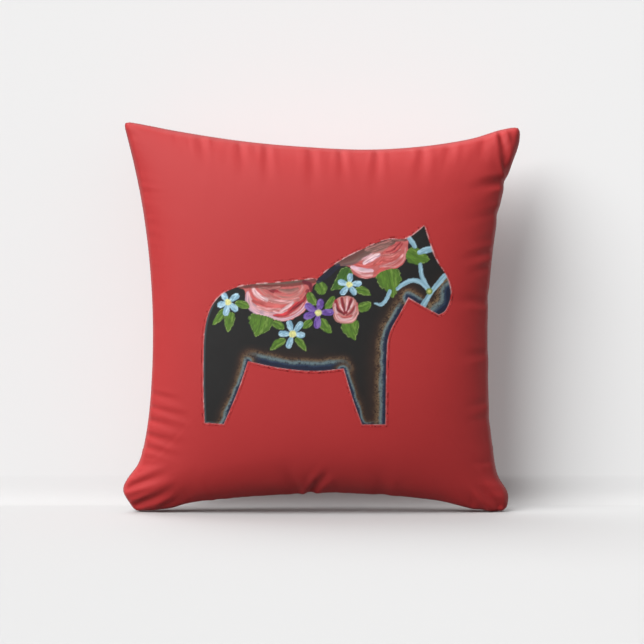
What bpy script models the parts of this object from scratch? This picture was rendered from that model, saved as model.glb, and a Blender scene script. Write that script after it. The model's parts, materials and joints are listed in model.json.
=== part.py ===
"""Square scatter cushion printed with a rose-painted dala horse.

The cushion stands upright: the printed front faces -Y, the horse's head is on the +X side,
and +Z is up.  It stands on the flattened undersides of its two bottom corners, at z = 0.
The cover closes with a coil zip across the back, and holds a separate fibre-filled insert.
The zip follows a circular arc about a vertical axis, so its slider turns about that axis.
All sizes are in metres; the outline points are in millimetres and scaled by MM.
"""

import math

import bmesh
import bpy
from mathutils import Matrix, Vector

MM = 0.001
COLLECTION_NAME = "dala_horse_cushion"
CUTTER_COLLECTION_NAME = "cutters"

# Seam outline of the stuffed cover, in millimetres: (height z, x) down the two sides and
# (x, height z) along the top and bottom.
LEFT_SIDE = [(-15, -184), (4, -190), (20, -199.55), (33, -194), (48, -183), (85, -174.5), (135, -170),
             (195, -169), (250, -172), (300, -178), (345, -186.5), (392, -198)]
RIGHT_SIDE = [(-15, 181), (4, 187), (18, 188), (34, 178), (60, 173), (100, 169), (195, 167.5),
              (258, 172), (310, 180), (345, 190), (366, 197.5), (378, 199), (392, 198)]
BOTTOM_SIDE = [(-205, -20), (-185, -15), (-158, -2), (-135, 7.5), (-95, 13.5), (-45, 18), (5, 20.5),
               (60, 18), (105, 13), (135, 6.5), (156, -2), (182, -14), (205, -19)]
TOP_SIDE = [(-205, 391), (-185, 388.5), (-143, 380.5), (-80, 371), (-20, 365.5), (45, 362.5),
            (100, 365.5), (150, 373), (180, 382), (205, 386)]

# Depth of each half: a crowned dome, thinner towards the corners.
FRONT_DEPTH = 0.0694
BACK_DEPTH = 0.0714
BACK_FLAT_DEPTH = 0.0702        # the back crown is flattened here, where it rests
DOME_POWER = 2.6
DOME_ROOT = 0.35
TOP_CORNER_THINNING = 0.62
BOTTOM_CORNER_THINNING = 0.38   # the bottom corners spread a little under the cushion's weight
CORNER_POWER = 1.2
ON_SEAM = 0.99999               # a point this close to the outline is on the seam
COVER_STEPS = 20
INSERT_STEPS = 20

# Cover cloth, the slot between its two halves, and the seam thread in that slot.
CLOTH_THICKNESS = 0.0007
SEAM_HALF_SLOT = 0.0011
SEAM_THREAD_RADIUS = 0.0003
PRINT_GAP = 0.0005
PRINT_THICKNESS = 0.0003

# Insert: a thin casing and its fibre filling, each inset from the cover's outer surface.
CASING_INSET = 0.0075
CASING_THICKNESS = 0.0005
CASING_HALF_SLOT = 0.0008
CASING_THREAD_RADIUS = 0.00025
FILL_INSET = 0.0112

# Zip: an arc about a vertical axis, on a cone that matches the slope of the back.
ZIP_HEIGHT = 0.062
ZIP_RADIUS = 0.330
ZIP_CROWN_DEPTH = 0.0560
ZIP_SLOPE = 0.32                # growth of the cone's radius per metre of height
ZIP_AXIS_Y = ZIP_CROWN_DEPTH - ZIP_RADIUS
ZIP_TILT = math.atan(ZIP_SLOPE)
ZIP_BAND_HALF_HEIGHT = 0.016
ZIP_BAND_FADE = 0.013
ZIP_BAND_HALF_WIDTH = 0.138
ZIP_BAND_SIDE_FADE = 0.020
ZIP_STEPS = 40

OPENING_HALF_GAP = 0.0044
CLOSED_HALF_GAP = 0.00025
OPENING_HALF_WIDTH = 0.1275
OPENING_END_WIDTH = 0.1345

# Zip chain, measured across (up the surface) and outwards from the cloth's outer surface.
TAPE_INNER_EDGE = 0.0008
TAPE_OUTER_EDGE = 0.0130
TAPE_TOP = -0.0011
TAPE_THICKNESS = 0.0005
TAPE_HALF_LENGTH = 0.1360
COIL_RADIUS = 0.00135
COIL_CENTRE_ACROSS = 0.00220
COIL_CENTRE_OUT = 0.00055
COIL_HALF_LENGTH = 0.1225
COIL_TURNS = 60
COIL_WAIST = 0.78
STOP_LENGTH = 0.0026
STOP_GAP = 0.0006
STITCH_ACROSS = 0.0066
STITCH_COUNT = 40
STITCH_RADIUS = 0.0003
STITCH_WAIST = 0.6
STITCH_OUT = 0.0007
STITCH_HALF_RUN = 0.1260
TACK_WIDTH = 0.0016
TACK_OUT = 0.0012
TACK_OVERLAP = 0.0020           # how far a tack runs onto the cloth beyond the opening
BLOCK_ROUND = 0.0002

# Slider and pull tab, in the slider's own axes: x along the zip, y down, z outwards.
SLIDER_TRAVEL_HALF_WIDTH = 0.1165
SLIDER_LENGTH = 0.0110
SLIDER_HALF_WIDTH = 0.0047
SLIDER_TAIL_HALF_WIDTH = 0.0040
TOP_PLATE_LOW = 0.0021
TOP_PLATE_HIGH = 0.0031
FLANGE_LOW = 0.0005
FLANGE_INNER = 0.0039
BOTTOM_PLATE_LOW = -0.0033
BOTTOM_PLATE_HIGH = -0.0023
POST_HALF_WIDTH = 0.0005
CROWN_HALF_SPAN = 0.0036
CROWN_HEIGHT = 0.0064
CROWN_RADIUS = 0.0007
TAB_PIVOT_OUT = 0.00445
TAB_LENGTH = 0.0260
TAB_HALF_WIDTH = 0.0032
TAB_BAR_REACH = 0.0007
TAB_WINDOW_END = 0.0053
TAB_WINDOW_HALF_WIDTH = 0.0017
TAB_HALF_THICKNESS = 0.0006
TAB_EDGE_ROUND = 0.0002

# Outline of the printed horse in millimetres, (x, height z), clockwise from the ear tip.
# True marks a corner; the other points are joined smoothly.
HORSE_OUTLINE = [
    (101, 286, True), (106, 270, False), (112, 254, False), (123, 236, False), (127, 219, False),
    (122, 204, False), (115, 199, True), (95, 210, False), (85, 216, True), (77, 201, False),
    (67, 182, False), (64, 160, False), (63, 92, True), (40, 92, True), (31, 117, False),
    (22, 147, True), (-7, 144.5, False), (-40, 147.5, False), (-71, 154, True), (-81, 125, False),
    (-95, 92, True), (-114, 93, True), (-115, 135, False), (-113, 187, False), (-102, 214, False),
    (-79, 227, False), (-40, 231, False), (-3, 235, True), (14, 249, False), (36, 261, False),
    (62, 272, False), (84, 274, False),
]

RED_CLOTH = (0.46, 0.065, 0.065)
RED_THREAD = (0.36, 0.045, 0.05)
PRINT_BLACK = (0.028, 0.025, 0.027)
WHITE_CASING = (0.86, 0.85, 0.82)
WHITE_FIBRE = (0.90, 0.90, 0.88)
WINE_TAPE = (0.25, 0.03, 0.035)
WINE_NYLON = (0.30, 0.035, 0.04)
NICKEL = (0.62, 0.61, 0.59)


# ---------------------------------------------------------------- scene helpers

def clear_scene():
    """Remove every object, so that the script can be run again in the same file."""
    for scene_object in list(bpy.data.objects):
        bpy.data.objects.remove(scene_object, do_unlink=True)


def new_collection(name):
    """Return an empty collection of this name, linked to the scene."""
    collection = bpy.data.collections.get(name) or bpy.data.collections.new(name)
    if name not in bpy.context.scene.collection.children:
        bpy.context.scene.collection.children.link(collection)
    return collection


def make_material(name, colour, roughness, metallic=0.0):
    """Return a Principled material with a single colour."""
    material = bpy.data.materials.new(name)
    material.use_nodes = True
    shader = material.node_tree.nodes["Principled BSDF"]
    shader.inputs["Base Color"].default_value = (*colour, 1.0)
    shader.inputs["Roughness"].default_value = roughness
    shader.inputs["Metallic"].default_value = metallic
    return material


def add_object(name, mesh, parts, colour, roughness, metallic=0.0, smooth=True):
    """Link a mesh to the part's collection as a named object with its own material."""
    new_object = bpy.data.objects.new(name, mesh)
    parts.objects.link(new_object)
    mesh.materials.clear()
    mesh.materials.append(make_material(name + "_material", colour, roughness, metallic))
    if smooth:
        mesh.shade_smooth()
    return new_object


def hide_cutter(cutter):
    """Show a cutter as a wire only, and keep it out of renders."""
    cutter.hide_render = True
    cutter.display_type = "WIRE"


def mesh_from_bmesh(name, bm):
    """Turn a bmesh into a mesh with consistent outward normals."""
    mesh = bpy.data.meshes.new(name)
    bm.to_mesh(mesh)
    bm.free()
    return mesh


def add_solidify(panel, thickness):
    """Thicken an open surface inwards, away from its normals."""
    solidify = panel.modifiers.new("cloth_thickness", "SOLIDIFY")
    solidify.thickness = thickness
    solidify.offset = -1.0
    solidify.use_even_offset = False


def add_boolean(target, cutter, operation):
    """Add an exact boolean modifier."""
    boolean = target.modifiers.new(operation.lower() + "_" + cutter.name, "BOOLEAN")
    boolean.operation = operation
    boolean.solver = "EXACT"
    boolean.object = cutter


def curve_to_mesh(curve_object):
    """Return the welded mesh of a curve object, in world coordinates, and remove the curve."""
    bpy.context.view_layer.update()
    evaluated = curve_object.evaluated_get(bpy.context.evaluated_depsgraph_get())
    mesh = bpy.data.meshes.new_from_object(evaluated)
    matrix = curve_object.matrix_world.copy()
    bm = bmesh.new()
    bm.from_mesh(mesh)
    bmesh.ops.remove_doubles(bm, verts=bm.verts, dist=1e-6)
    bmesh.ops.recalc_face_normals(bm, faces=bm.faces)
    bm.to_mesh(mesh)
    bm.free()
    bpy.data.objects.remove(curve_object, do_unlink=True)
    mesh.transform(matrix)
    return mesh


# ---------------------------------------------------------------- cushion surface

def along(points, place):
    """Read a smooth curve through (place, value) points, by cubic Hermite interpolation."""
    index = 0
    while index < len(points) - 2 and place > points[index + 1][0]:
        index += 1
    (x0, y0), (x1, y1) = points[index], points[index + 1]
    before = points[max(index - 1, 0)]
    after = points[min(index + 2, len(points) - 1)]
    slope0 = (y1 - before[1]) / (x1 - before[0])
    slope1 = (after[1] - y0) / (after[0] - x0)
    width = x1 - x0
    share = min(max((place - x0) / width, 0.0), 1.0)
    rest = 1.0 - share
    return (y0 * (1 + 2 * share) * rest * rest + y1 * share * share * (3 - 2 * share)
            + slope0 * width * share * rest * rest - slope1 * width * share * share * rest)


def left_x(z, inset):
    return along(LEFT_SIDE, z / MM) * MM + inset


def right_x(z, inset):
    return along(RIGHT_SIDE, z / MM) * MM - inset


def bottom_z(x, inset):
    return along(BOTTOM_SIDE, x / MM) * MM + inset


def top_z(x, inset):
    return along(TOP_SIDE, x / MM) * MM - inset


def ease(value):
    """Smooth step from 0 to 1."""
    value = min(max(value, 0.0), 1.0)
    return value * value * (3.0 - 2.0 * value)


def dome(x, z, inset):
    """Share of the full depth at a point of the outline, from 0 at the seam to 1."""
    left, right = left_x(z, inset), right_x(z, inset)
    bottom, top = bottom_z(x, inset), top_z(x, inset)
    s = min(abs((2 * x - left - right) / (right - left)), 1.0)
    height = (2 * z - bottom - top) / (top - bottom)
    t = min(abs(height), 1.0)
    if max(s, t) > ON_SEAM:
        return 0.0
    crown = ((1.0 - s ** DOME_POWER) * (1.0 - t ** DOME_POWER)) ** DOME_ROOT
    thinning = TOP_CORNER_THINNING if height > 0 else BOTTOM_CORNER_THINNING
    return crown * (1.0 - thinning * (s * t) ** CORNER_POWER)


def zip_cone_depth(x, z, inset):
    """Depth of the cone that the zip lies on, inset along its own normal."""
    radius = ZIP_RADIUS + ZIP_SLOPE * (z - ZIP_HEIGHT) - inset / math.cos(ZIP_TILT)
    return ZIP_AXIS_Y + math.sqrt(radius * radius - x * x)


def zip_share(x, z):
    """How much of the zip's cone shapes the back here: 1 beside the zip, 0 away from it."""
    up = (abs(z - ZIP_HEIGHT) - ZIP_BAND_HALF_HEIGHT) / ZIP_BAND_FADE
    side = (abs(x) - ZIP_BAND_HALF_WIDTH) / ZIP_BAND_SIDE_FADE
    return (1.0 - ease(up)) * (1.0 - ease(side))


def front_y(x, z, inset=0.0):
    return -(FRONT_DEPTH - inset) * dome(x, z, inset)


def back_y(x, z, inset=0.0):
    domed = min((BACK_DEPTH - inset) * dome(x, z, inset), BACK_FLAT_DEPTH - inset)
    share = zip_share(x, z)
    if share == 0.0:
        return domed
    return (1.0 - share) * domed + share * zip_cone_depth(x, z, inset)


def crossing(side_x, side_z, start_x, inset):
    """Corner where an upright edge crosses a level edge."""
    x = start_x
    for _ in range(30):
        z = side_z(x, inset)
        x = side_x(z, inset)
    return x, z


def crowded(steps):
    """Shares from 0 to 1 that crowd towards both ends, where the surface turns quickly."""
    return [0.5 + 0.5 * math.sin(math.pi * (index / steps - 0.5)) for index in range(steps + 1)]


def patch(low_edge, high_edge, inset, columns, rows):
    """Grid of (x, z) points between two level edges and the two sides (a Coons patch)."""
    low_left = crossing(left_x, low_edge, -0.18, inset)
    low_right = crossing(right_x, low_edge, 0.18, inset)
    high_left = crossing(left_x, high_edge, -0.18, inset)
    high_right = crossing(right_x, high_edge, 0.18, inset)
    grid = []
    for v in rows:
        line = []
        left_height = low_left[1] + (high_left[1] - low_left[1]) * v
        right_height = low_right[1] + (high_right[1] - low_right[1]) * v
        for u in columns:
            low_x = low_left[0] + (low_right[0] - low_left[0]) * u
            high_x = high_left[0] + (high_right[0] - high_left[0]) * u
            low = (low_x, low_edge(low_x, inset))
            high = (high_x, high_edge(high_x, inset))
            left = (left_x(left_height, inset), left_height)
            right = (right_x(right_height, inset), right_height)
            line.append(tuple(
                (1 - v) * low[k] + v * high[k] + (1 - u) * left[k] + u * right[k]
                - (1 - u) * (1 - v) * low_left[k] - u * (1 - v) * low_right[k]
                - (1 - u) * v * high_left[k] - u * v * high_right[k]
                for k in (0, 1)))
        grid.append(line)
    return grid


def grid_surface(bm, grid, depth, inset, half_slot, outward):
    """Add a grid to the bmesh, bent to a depth function; outward is -1 in front, 1 behind."""
    rows, columns = len(grid), len(grid[0])
    made = bmesh.ops.create_grid(bm, x_segments=columns - 1, y_segments=rows - 1, size=0.5)
    for vert in made["verts"]:
        column = round((vert.co.x + 0.5) * (columns - 1))
        row = round((vert.co.y + 0.5) * (rows - 1))
        x, z = grid[row][column]
        y = depth(x, z, inset) + outward * half_slot
        vert.co = (x, y, max(z, inset))
    if outward > 0:
        faces = {face for vert in made["verts"] for face in vert.link_faces}
        bmesh.ops.reverse_faces(bm, faces=list(faces))


# ---------------------------------------------------------------- cover, print and insert

def whole_grid(inset, steps):
    """Grid over the whole outline."""
    shares = crowded(steps)
    return patch(bottom_z, top_z, inset, shares, shares)


def make_panel(name, grid, depth, inset, half_slot, outward, thickness, parts, colour):
    """One cloth panel: a bent grid, thickened inwards."""
    bm = bmesh.new()
    grid_surface(bm, grid, depth, inset, half_slot, outward)
    panel = add_object(name, mesh_from_bmesh(name, bm), parts, colour, 0.85)
    add_solidify(panel, thickness)
    return panel


def opening_half_gap(x):
    """Half the height of the gap between the two back panels, across the zip."""
    closing = (abs(x) - OPENING_HALF_WIDTH) / (OPENING_END_WIDTH - OPENING_HALF_WIDTH)
    gap = OPENING_HALF_GAP + (CLOSED_HALF_GAP - OPENING_HALF_GAP) * ease(closing)
    return gap * math.cos(ZIP_TILT)


def above_zip_z(x, _inset):
    return ZIP_HEIGHT + opening_half_gap(x)


def below_zip_z(x, _inset):
    return ZIP_HEIGHT - opening_half_gap(x)


def back_columns():
    """Column shares of the back panels, with columns where the zip opening begins and ends."""
    left = left_x(ZIP_HEIGHT, 0.0)
    width = right_x(ZIP_HEIGHT, 0.0) - left
    ends = [OPENING_HALF_WIDTH, OPENING_END_WIDTH, -OPENING_HALF_WIDTH, -OPENING_END_WIDTH]
    extra = [(x - left) / width for x in ends]
    kept = [u for u in crowded(COVER_STEPS) if min(abs(u - e) for e in extra) > 0.008]
    return sorted(kept + extra)


def make_cover(parts):
    """The printed front and the two back panels that the zip joins."""
    make_panel("cover_front_panel", whole_grid(0.0, COVER_STEPS), front_y, 0.0, SEAM_HALF_SLOT, -1,
               CLOTH_THICKNESS, parts, RED_CLOTH)
    columns = back_columns()
    upper = patch(above_zip_z, top_z, 0.0, columns, crowded(COVER_STEPS))
    make_panel("cover_back_upper", upper, back_y, 0.0, SEAM_HALF_SLOT, 1,
               CLOTH_THICKNESS, parts, RED_CLOTH)
    lower = patch(bottom_z, below_zip_z, 0.0, columns, crowded(COVER_STEPS // 2))
    make_panel("cover_back_lower", lower, back_y, 0.0, SEAM_HALF_SLOT, 1,
               CLOTH_THICKNESS, parts, RED_CLOTH)


def make_seam_thread(name, inset, radius, steps, parts, colour):
    """A closed thread along the seam, in the slot between the front and the back."""
    grid = whole_grid(inset, steps)
    rim = grid[0][:-1] + [line[-1] for line in grid[:-1]]
    rim += grid[-1][:0:-1] + [line[0] for line in grid[:0:-1]]
    curve = bpy.data.curves.new(name, "CURVE")
    curve.dimensions = "3D"
    curve.bevel_depth = radius
    curve.bevel_resolution = 0
    spline = curve.splines.new("POLY")
    spline.points.add(len(rim) - 1)
    spline.use_cyclic_u = True
    for point, (x, z) in zip(spline.points, rim):
        point.co = (x, 0.0, max(z, inset + radius), 1.0)
    thread = bpy.data.objects.new(name + "_path", curve)
    parts.objects.link(thread)
    add_object(name, curve_to_mesh(thread), parts, colour, 0.7)


def horse_cutter(cutters):
    """The horse's outline as an upright slab that reaches through the front."""
    curve = bpy.data.curves.new("horse_outline", "CURVE")
    curve.dimensions = "2D"
    curve.fill_mode = "BOTH"
    curve.extrude = 0.06
    curve.resolution_u = 3
    spline = curve.splines.new("BEZIER")
    spline.bezier_points.add(len(HORSE_OUTLINE) - 1)
    spline.use_cyclic_u = True
    for point, (x, z, corner) in zip(spline.bezier_points, HORSE_OUTLINE):
        point.co = (x * MM, z * MM, 0.0)
        kind = "VECTOR" if corner else "AUTO"
        point.handle_left_type = kind
        point.handle_right_type = kind
    outline = bpy.data.objects.new("horse_outline", curve)
    cutters.objects.link(outline)
    outline.matrix_world = Matrix.Translation((0, -0.07, 0)) @ Matrix.Rotation(math.pi / 2, 4, "X")
    cutter = bpy.data.objects.new("horse_outline_cutter", curve_to_mesh(outline))
    cutters.objects.link(cutter)
    hide_cutter(cutter)
    return cutter


def make_print(parts, cutters):
    """The printed layer: a thin film over the front, kept only inside the horse's outline."""
    lift = SEAM_HALF_SLOT + PRINT_GAP + PRINT_THICKNESS
    film = make_panel("dala_horse_print", whole_grid(0.0, COVER_STEPS), front_y, 0.0, lift, -1,
                      PRINT_THICKNESS, parts, PRINT_BLACK)
    add_boolean(film, horse_cutter(cutters), "INTERSECT")


def make_insert(parts):
    """The removable insert: two casing halves, their seam thread and the fibre filling."""
    grid = whole_grid(CASING_INSET, INSERT_STEPS)
    make_panel("insert_casing_front", grid, front_y, CASING_INSET, CASING_HALF_SLOT, -1,
               CASING_THICKNESS, parts, WHITE_CASING)
    make_panel("insert_casing_back", grid, back_y, CASING_INSET, CASING_HALF_SLOT, 1,
               CASING_THICKNESS, parts, WHITE_CASING)
    make_seam_thread("insert_seam_thread", CASING_INSET, CASING_THREAD_RADIUS, INSERT_STEPS, parts,
                     WHITE_CASING)
    bm = bmesh.new()
    fill_grid = whole_grid(FILL_INSET, INSERT_STEPS)
    grid_surface(bm, fill_grid, front_y, FILL_INSET, 0.0, -1)
    grid_surface(bm, fill_grid, back_y, FILL_INSET, 0.0, 1)
    bmesh.ops.remove_doubles(bm, verts=bm.verts, dist=1e-6)
    add_object("fibre_fill", mesh_from_bmesh("fibre_fill", bm), parts, WHITE_FIBRE, 0.95)


# ---------------------------------------------------------------- zip chain

def zip_matrix(x):
    """Axes of the zip at a place along it: x along the zip, y down the cloth, z outwards."""
    angle = math.asin(x / ZIP_RADIUS)
    run = Vector((math.cos(angle), -math.sin(angle), 0.0))
    out = Vector((math.sin(angle) * math.cos(ZIP_TILT), math.cos(angle) * math.cos(ZIP_TILT),
                  -math.sin(ZIP_TILT)))
    down = out.cross(run)
    matrix = Matrix((run, down, out)).transposed().to_4x4()
    y = ZIP_AXIS_Y + ZIP_RADIUS * math.cos(angle)
    matrix.translation = (x, y + SEAM_HALF_SLOT, ZIP_HEIGHT)
    return matrix


def zip_places(half_length, steps):
    """Places along the zip at even angles."""
    reach = math.asin(half_length / ZIP_RADIUS)
    return [ZIP_RADIUS * math.sin(reach * (2 * index / steps - 1)) for index in range(steps + 1)]


def make_tape(name, side, parts):
    """One woven tape: a strip along the arc, thickened inwards; side is 1 above, -1 below."""
    places = zip_places(TAPE_HALF_LENGTH, ZIP_STEPS)
    bm = bmesh.new()
    made = bmesh.ops.create_grid(bm, x_segments=ZIP_STEPS, y_segments=1, size=0.5)
    for vert in made["verts"]:
        place = places[round((vert.co.x + 0.5) * ZIP_STEPS)]
        outer = vert.co.y * side > 0
        across = TAPE_OUTER_EDGE if outer else TAPE_INNER_EDGE
        vert.co = zip_matrix(place) @ Vector((0.0, -side * across, TAPE_TOP))
    bmesh.ops.reverse_faces(bm, faces=bm.faces)
    tape = add_object(name, mesh_from_bmesh(name, bm), parts, WINE_TAPE, 0.9)
    add_solidify(tape, TAPE_THICKNESS)


def make_ribbed_thread(name, turns, half_length, across, out, radius, waist, sides, parts, colour,
                       roughness):
    """A tube along the zip's arc whose radius swells once for each turn or stitch."""
    curve = bpy.data.curves.new(name, "CURVE")
    curve.dimensions = "3D"
    curve.bevel_depth = radius
    curve.bevel_resolution = sides
    curve.use_fill_caps = True
    places = zip_places(half_length, 2 * turns)
    spline = curve.splines.new("POLY")
    spline.points.add(len(places) - 1)
    for index, (point, place) in enumerate(zip(spline.points, places)):
        centre = zip_matrix(place) @ Vector((0.0, across, out))
        point.co = (*centre, 1.0)
        point.radius = 1.0 if index % 2 else waist
    path = bpy.data.objects.new(name + "_path", curve)
    parts.objects.link(path)
    add_object(name, curve_to_mesh(path), parts, colour, roughness)


def add_box(bm, matrix, low, high):
    """Add a box between two corners, given in the axes of the matrix."""
    low, high = Vector(low), Vector(high)
    size = Matrix.Diagonal((*(high - low), 1.0))
    centre = Matrix.Translation((low + high) / 2)
    bmesh.ops.create_cube(bm, size=1.0, matrix=matrix @ centre @ size)


def make_block(name, place, low, high, parts, colour, roughness, metallic=0.0):
    """A small block at a place along the zip, with slightly rounded edges."""
    bm = bmesh.new()
    add_box(bm, zip_matrix(place), low, high)
    block = add_object(name, mesh_from_bmesh(name, bm), parts, colour, roughness, metallic, False)
    bevel = block.modifiers.new("rounded_edges", "BEVEL")
    bevel.width = BLOCK_ROUND
    bevel.segments = 2


def make_stops(parts):
    """A top stop on each tape, and the bottom stop across both."""
    place = COIL_HALF_LENGTH + STOP_GAP + STOP_LENGTH / 2
    half = STOP_LENGTH / 2
    outer = COIL_CENTRE_ACROSS + COIL_RADIUS
    low, high = COIL_CENTRE_OUT - COIL_RADIUS, COIL_CENTRE_OUT + COIL_RADIUS
    make_block("zip_top_stop_upper", place, (-half, -outer, low), (half, -TAPE_INNER_EDGE, high),
               parts, NICKEL, 0.35, 1.0)
    make_block("zip_top_stop_lower", place, (-half, TAPE_INNER_EDGE, low), (half, outer, high),
               parts, NICKEL, 0.35, 1.0)
    make_block("zip_bottom_stop", -place, (-half, -outer, low), (half, outer, high),
               parts, NICKEL, 0.35, 1.0)


def make_end_tacks(parts):
    """Dense cross stitching that closes each end of the zip opening."""
    half = TACK_WIDTH / 2
    reach = OPENING_HALF_GAP + TACK_OVERLAP
    place = OPENING_END_WIDTH + half
    for name, side in (("zip_end_tack_left", -1), ("zip_end_tack_right", 1)):
        make_block(name, side * place, (-half, -reach, TACK_OUT - STITCH_RADIUS),
                   (half, reach, TACK_OUT + STITCH_RADIUS), parts, RED_THREAD, 0.7)


def make_zip_chain(parts):
    for name, side in (("upper", 1), ("lower", -1)):
        make_tape("zip_tape_" + name, side, parts)
        make_ribbed_thread("zip_coil_" + name, COIL_TURNS, COIL_HALF_LENGTH,
                           -side * COIL_CENTRE_ACROSS, COIL_CENTRE_OUT, COIL_RADIUS, COIL_WAIST, 1,
                           parts, WINE_NYLON, 0.35)
        make_ribbed_thread("zip_stitching_" + name, STITCH_COUNT, STITCH_HALF_RUN,
                           -side * STITCH_ACROSS, STITCH_OUT, STITCH_RADIUS, STITCH_WAIST, 0,
                           parts, RED_THREAD, 0.7)
    make_stops(parts)
    make_end_tacks(parts)


# ---------------------------------------------------------------- slider and pull tab

def flat_mesh(name, loops, half_thickness, edge_round, collection):
    """Mesh of flat outlines in the local XY plane; inner loops become holes."""
    curve = bpy.data.curves.new(name, "CURVE")
    curve.dimensions = "2D"
    curve.fill_mode = "BOTH"
    curve.extrude = half_thickness - edge_round
    curve.bevel_depth = edge_round
    curve.bevel_resolution = 1
    for loop in loops:
        spline = curve.splines.new("POLY")
        spline.points.add(len(loop) - 1)
        spline.use_cyclic_u = True
        for point, (x, y) in zip(spline.points, loop):
            point.co = (x, y, 0.0, 1.0)
    outline = bpy.data.objects.new(name, curve)
    collection.objects.link(outline)
    return curve_to_mesh(outline)


def round_loop(low_x, high_x, half_y, radius, steps=4):
    """Rounded rectangle, counter-clockwise."""
    loop = []
    corners = ((high_x - radius, half_y - radius, 0), (low_x + radius, half_y - radius, 1),
               (low_x + radius, radius - half_y, 2), (high_x - radius, radius - half_y, 3))
    for centre_x, centre_y, quarter in corners:
        for step in range(steps + 1):
            angle = math.pi / 2 * (quarter + step / steps)
            loop.append((centre_x + radius * math.cos(angle), centre_y + radius * math.sin(angle)))
    return loop


def slider_section():
    """Cross-section of the slider (y across, z outwards): two plates, flanges and the post."""
    half = SLIDER_HALF_WIDTH
    right = [(half, BOTTOM_PLATE_LOW), (half, BOTTOM_PLATE_HIGH),
             (POST_HALF_WIDTH, BOTTOM_PLATE_HIGH), (POST_HALF_WIDTH, TOP_PLATE_LOW),
             (FLANGE_INNER, TOP_PLATE_LOW), (FLANGE_INNER, FLANGE_LOW),
             (half, FLANGE_LOW), (half, TOP_PLATE_HIGH)]
    return right + [(-y, z) for y, z in reversed(right)]


def make_slider(parts, cutters, pivot):
    """The slider body: its section, trimmed to a tapered plan, with the crown for the tab."""
    length = SLIDER_LENGTH / 2
    section = flat_mesh("slider_section", [slider_section()], length, 0.0, cutters)
    section.transform(Matrix(((0, 0, 1, 0), (1, 0, 0, 0), (0, 1, 0, 0), (0, 0, 0, 1))))
    body = add_object("zip_slider_body", section, parts, NICKEL, 0.3, 1.0, False)
    nose, tail = SLIDER_HALF_WIDTH, SLIDER_TAIL_HALF_WIDTH
    plan = [(-length, -tail), (-1.0 * MM, -tail), (1.2 * MM, -nose), (length - 1.2 * MM, -nose),
            (length, -nose + 1.2 * MM)]
    plan += [(x, -y) for x, y in reversed(plan)]
    trim = bpy.data.objects.new("slider_plan", flat_mesh("slider_plan", [plan], 0.02, 0.0, cutters))
    crown = bpy.data.objects.new("slider_crown", crown_mesh(cutters))
    for cutter in (trim, crown):
        cutters.objects.link(cutter)
        hide_cutter(cutter)
        cutter.parent = pivot
        cutter.matrix_local = pivot.matrix_world.inverted() @ zip_matrix(SLIDER_TRAVEL_HALF_WIDTH)
    add_boolean(body, trim, "INTERSECT")
    add_boolean(body, crown, "UNION")
    body.parent = pivot
    body.matrix_local = pivot.matrix_world.inverted() @ zip_matrix(SLIDER_TRAVEL_HALF_WIDTH)
    return body


def crown_mesh(cutters):
    """The arch on the slider that the pull tab hangs in."""
    curve = bpy.data.curves.new("slider_crown_path", "CURVE")
    curve.dimensions = "3D"
    curve.bevel_depth = CROWN_RADIUS
    curve.bevel_resolution = 2
    curve.use_fill_caps = True
    spline = curve.splines.new("POLY")
    foot = TOP_PLATE_LOW + (TOP_PLATE_HIGH - TOP_PLATE_LOW) / 2
    rise = CROWN_HEIGHT - TOP_PLATE_HIGH
    path = [(-CROWN_HALF_SPAN, foot)]
    for step in range(13):
        angle = math.pi * (1 - step / 12)
        bend = abs(math.cos(angle)) ** 0.7 * math.copysign(1, math.cos(angle))
        path.append((CROWN_HALF_SPAN * bend, TOP_PLATE_HIGH + rise * math.sin(angle) ** 0.7))
    path.append((CROWN_HALF_SPAN, foot))
    spline.points.add(len(path) - 1)
    for point, (x, z) in zip(spline.points, path):
        point.co = (x, 0.0, z, 1.0)
    arch = bpy.data.objects.new("slider_crown_path", curve)
    cutters.objects.link(arch)
    return curve_to_mesh(arch)


def make_pull_tab(parts, cutters, body):
    """The pull tab, with its origin on the bar that turns under the crown."""
    outer = round_loop(-TAB_LENGTH + TAB_EDGE_ROUND, TAB_BAR_REACH - TAB_EDGE_ROUND,
                       TAB_HALF_WIDTH - TAB_EDGE_ROUND, 0.0006)
    window = round_loop(-TAB_WINDOW_END - TAB_EDGE_ROUND, -TAB_BAR_REACH + TAB_EDGE_ROUND,
                        TAB_WINDOW_HALF_WIDTH + TAB_EDGE_ROUND, 0.0006)
    mesh = flat_mesh("pull_tab", [outer, window], TAB_HALF_THICKNESS, TAB_EDGE_ROUND, cutters)
    tab = add_object("zip_pull_tab", mesh, parts, NICKEL, 0.3, 1.0, False)
    tab.parent = body
    tab.location = (0.0, 0.0, TAB_PIVOT_OUT)


def make_zip_slider(parts, cutters):
    """The slider turns about the zip's arc axis, where its parent empty stands."""
    pivot = bpy.data.objects.new("zip_arc_axis", None)
    pivot.location = (0.0, ZIP_AXIS_Y + SEAM_HALF_SLOT, ZIP_HEIGHT)
    parts.objects.link(pivot)
    bpy.context.view_layer.update()
    body = make_slider(parts, cutters, pivot)
    make_pull_tab(parts, cutters, body)


def main():
    clear_scene()
    parts = new_collection(COLLECTION_NAME)
    cutters = new_collection(CUTTER_COLLECTION_NAME)
    make_cover(parts)
    make_seam_thread("cover_seam_thread", 0.0, SEAM_THREAD_RADIUS, COVER_STEPS, parts, RED_THREAD)
    make_print(parts, cutters)
    make_insert(parts)
    make_zip_chain(parts)
    make_zip_slider(parts, cutters)


main()
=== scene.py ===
"""The looks of the dala horse cushion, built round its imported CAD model.

The cover is two squares of cloth, sewn together and blown up by a cloth simulation inside the
CAD outline.  The horse is painted in code, stroke by stroke, into a fine layer on the front.
The back closes with a coil zip on the CAD's own arc.  All positions are in metres, except the
painting, which is laid out in millimetres across the front: x to the right, z up.
"""

import json
import math

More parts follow.
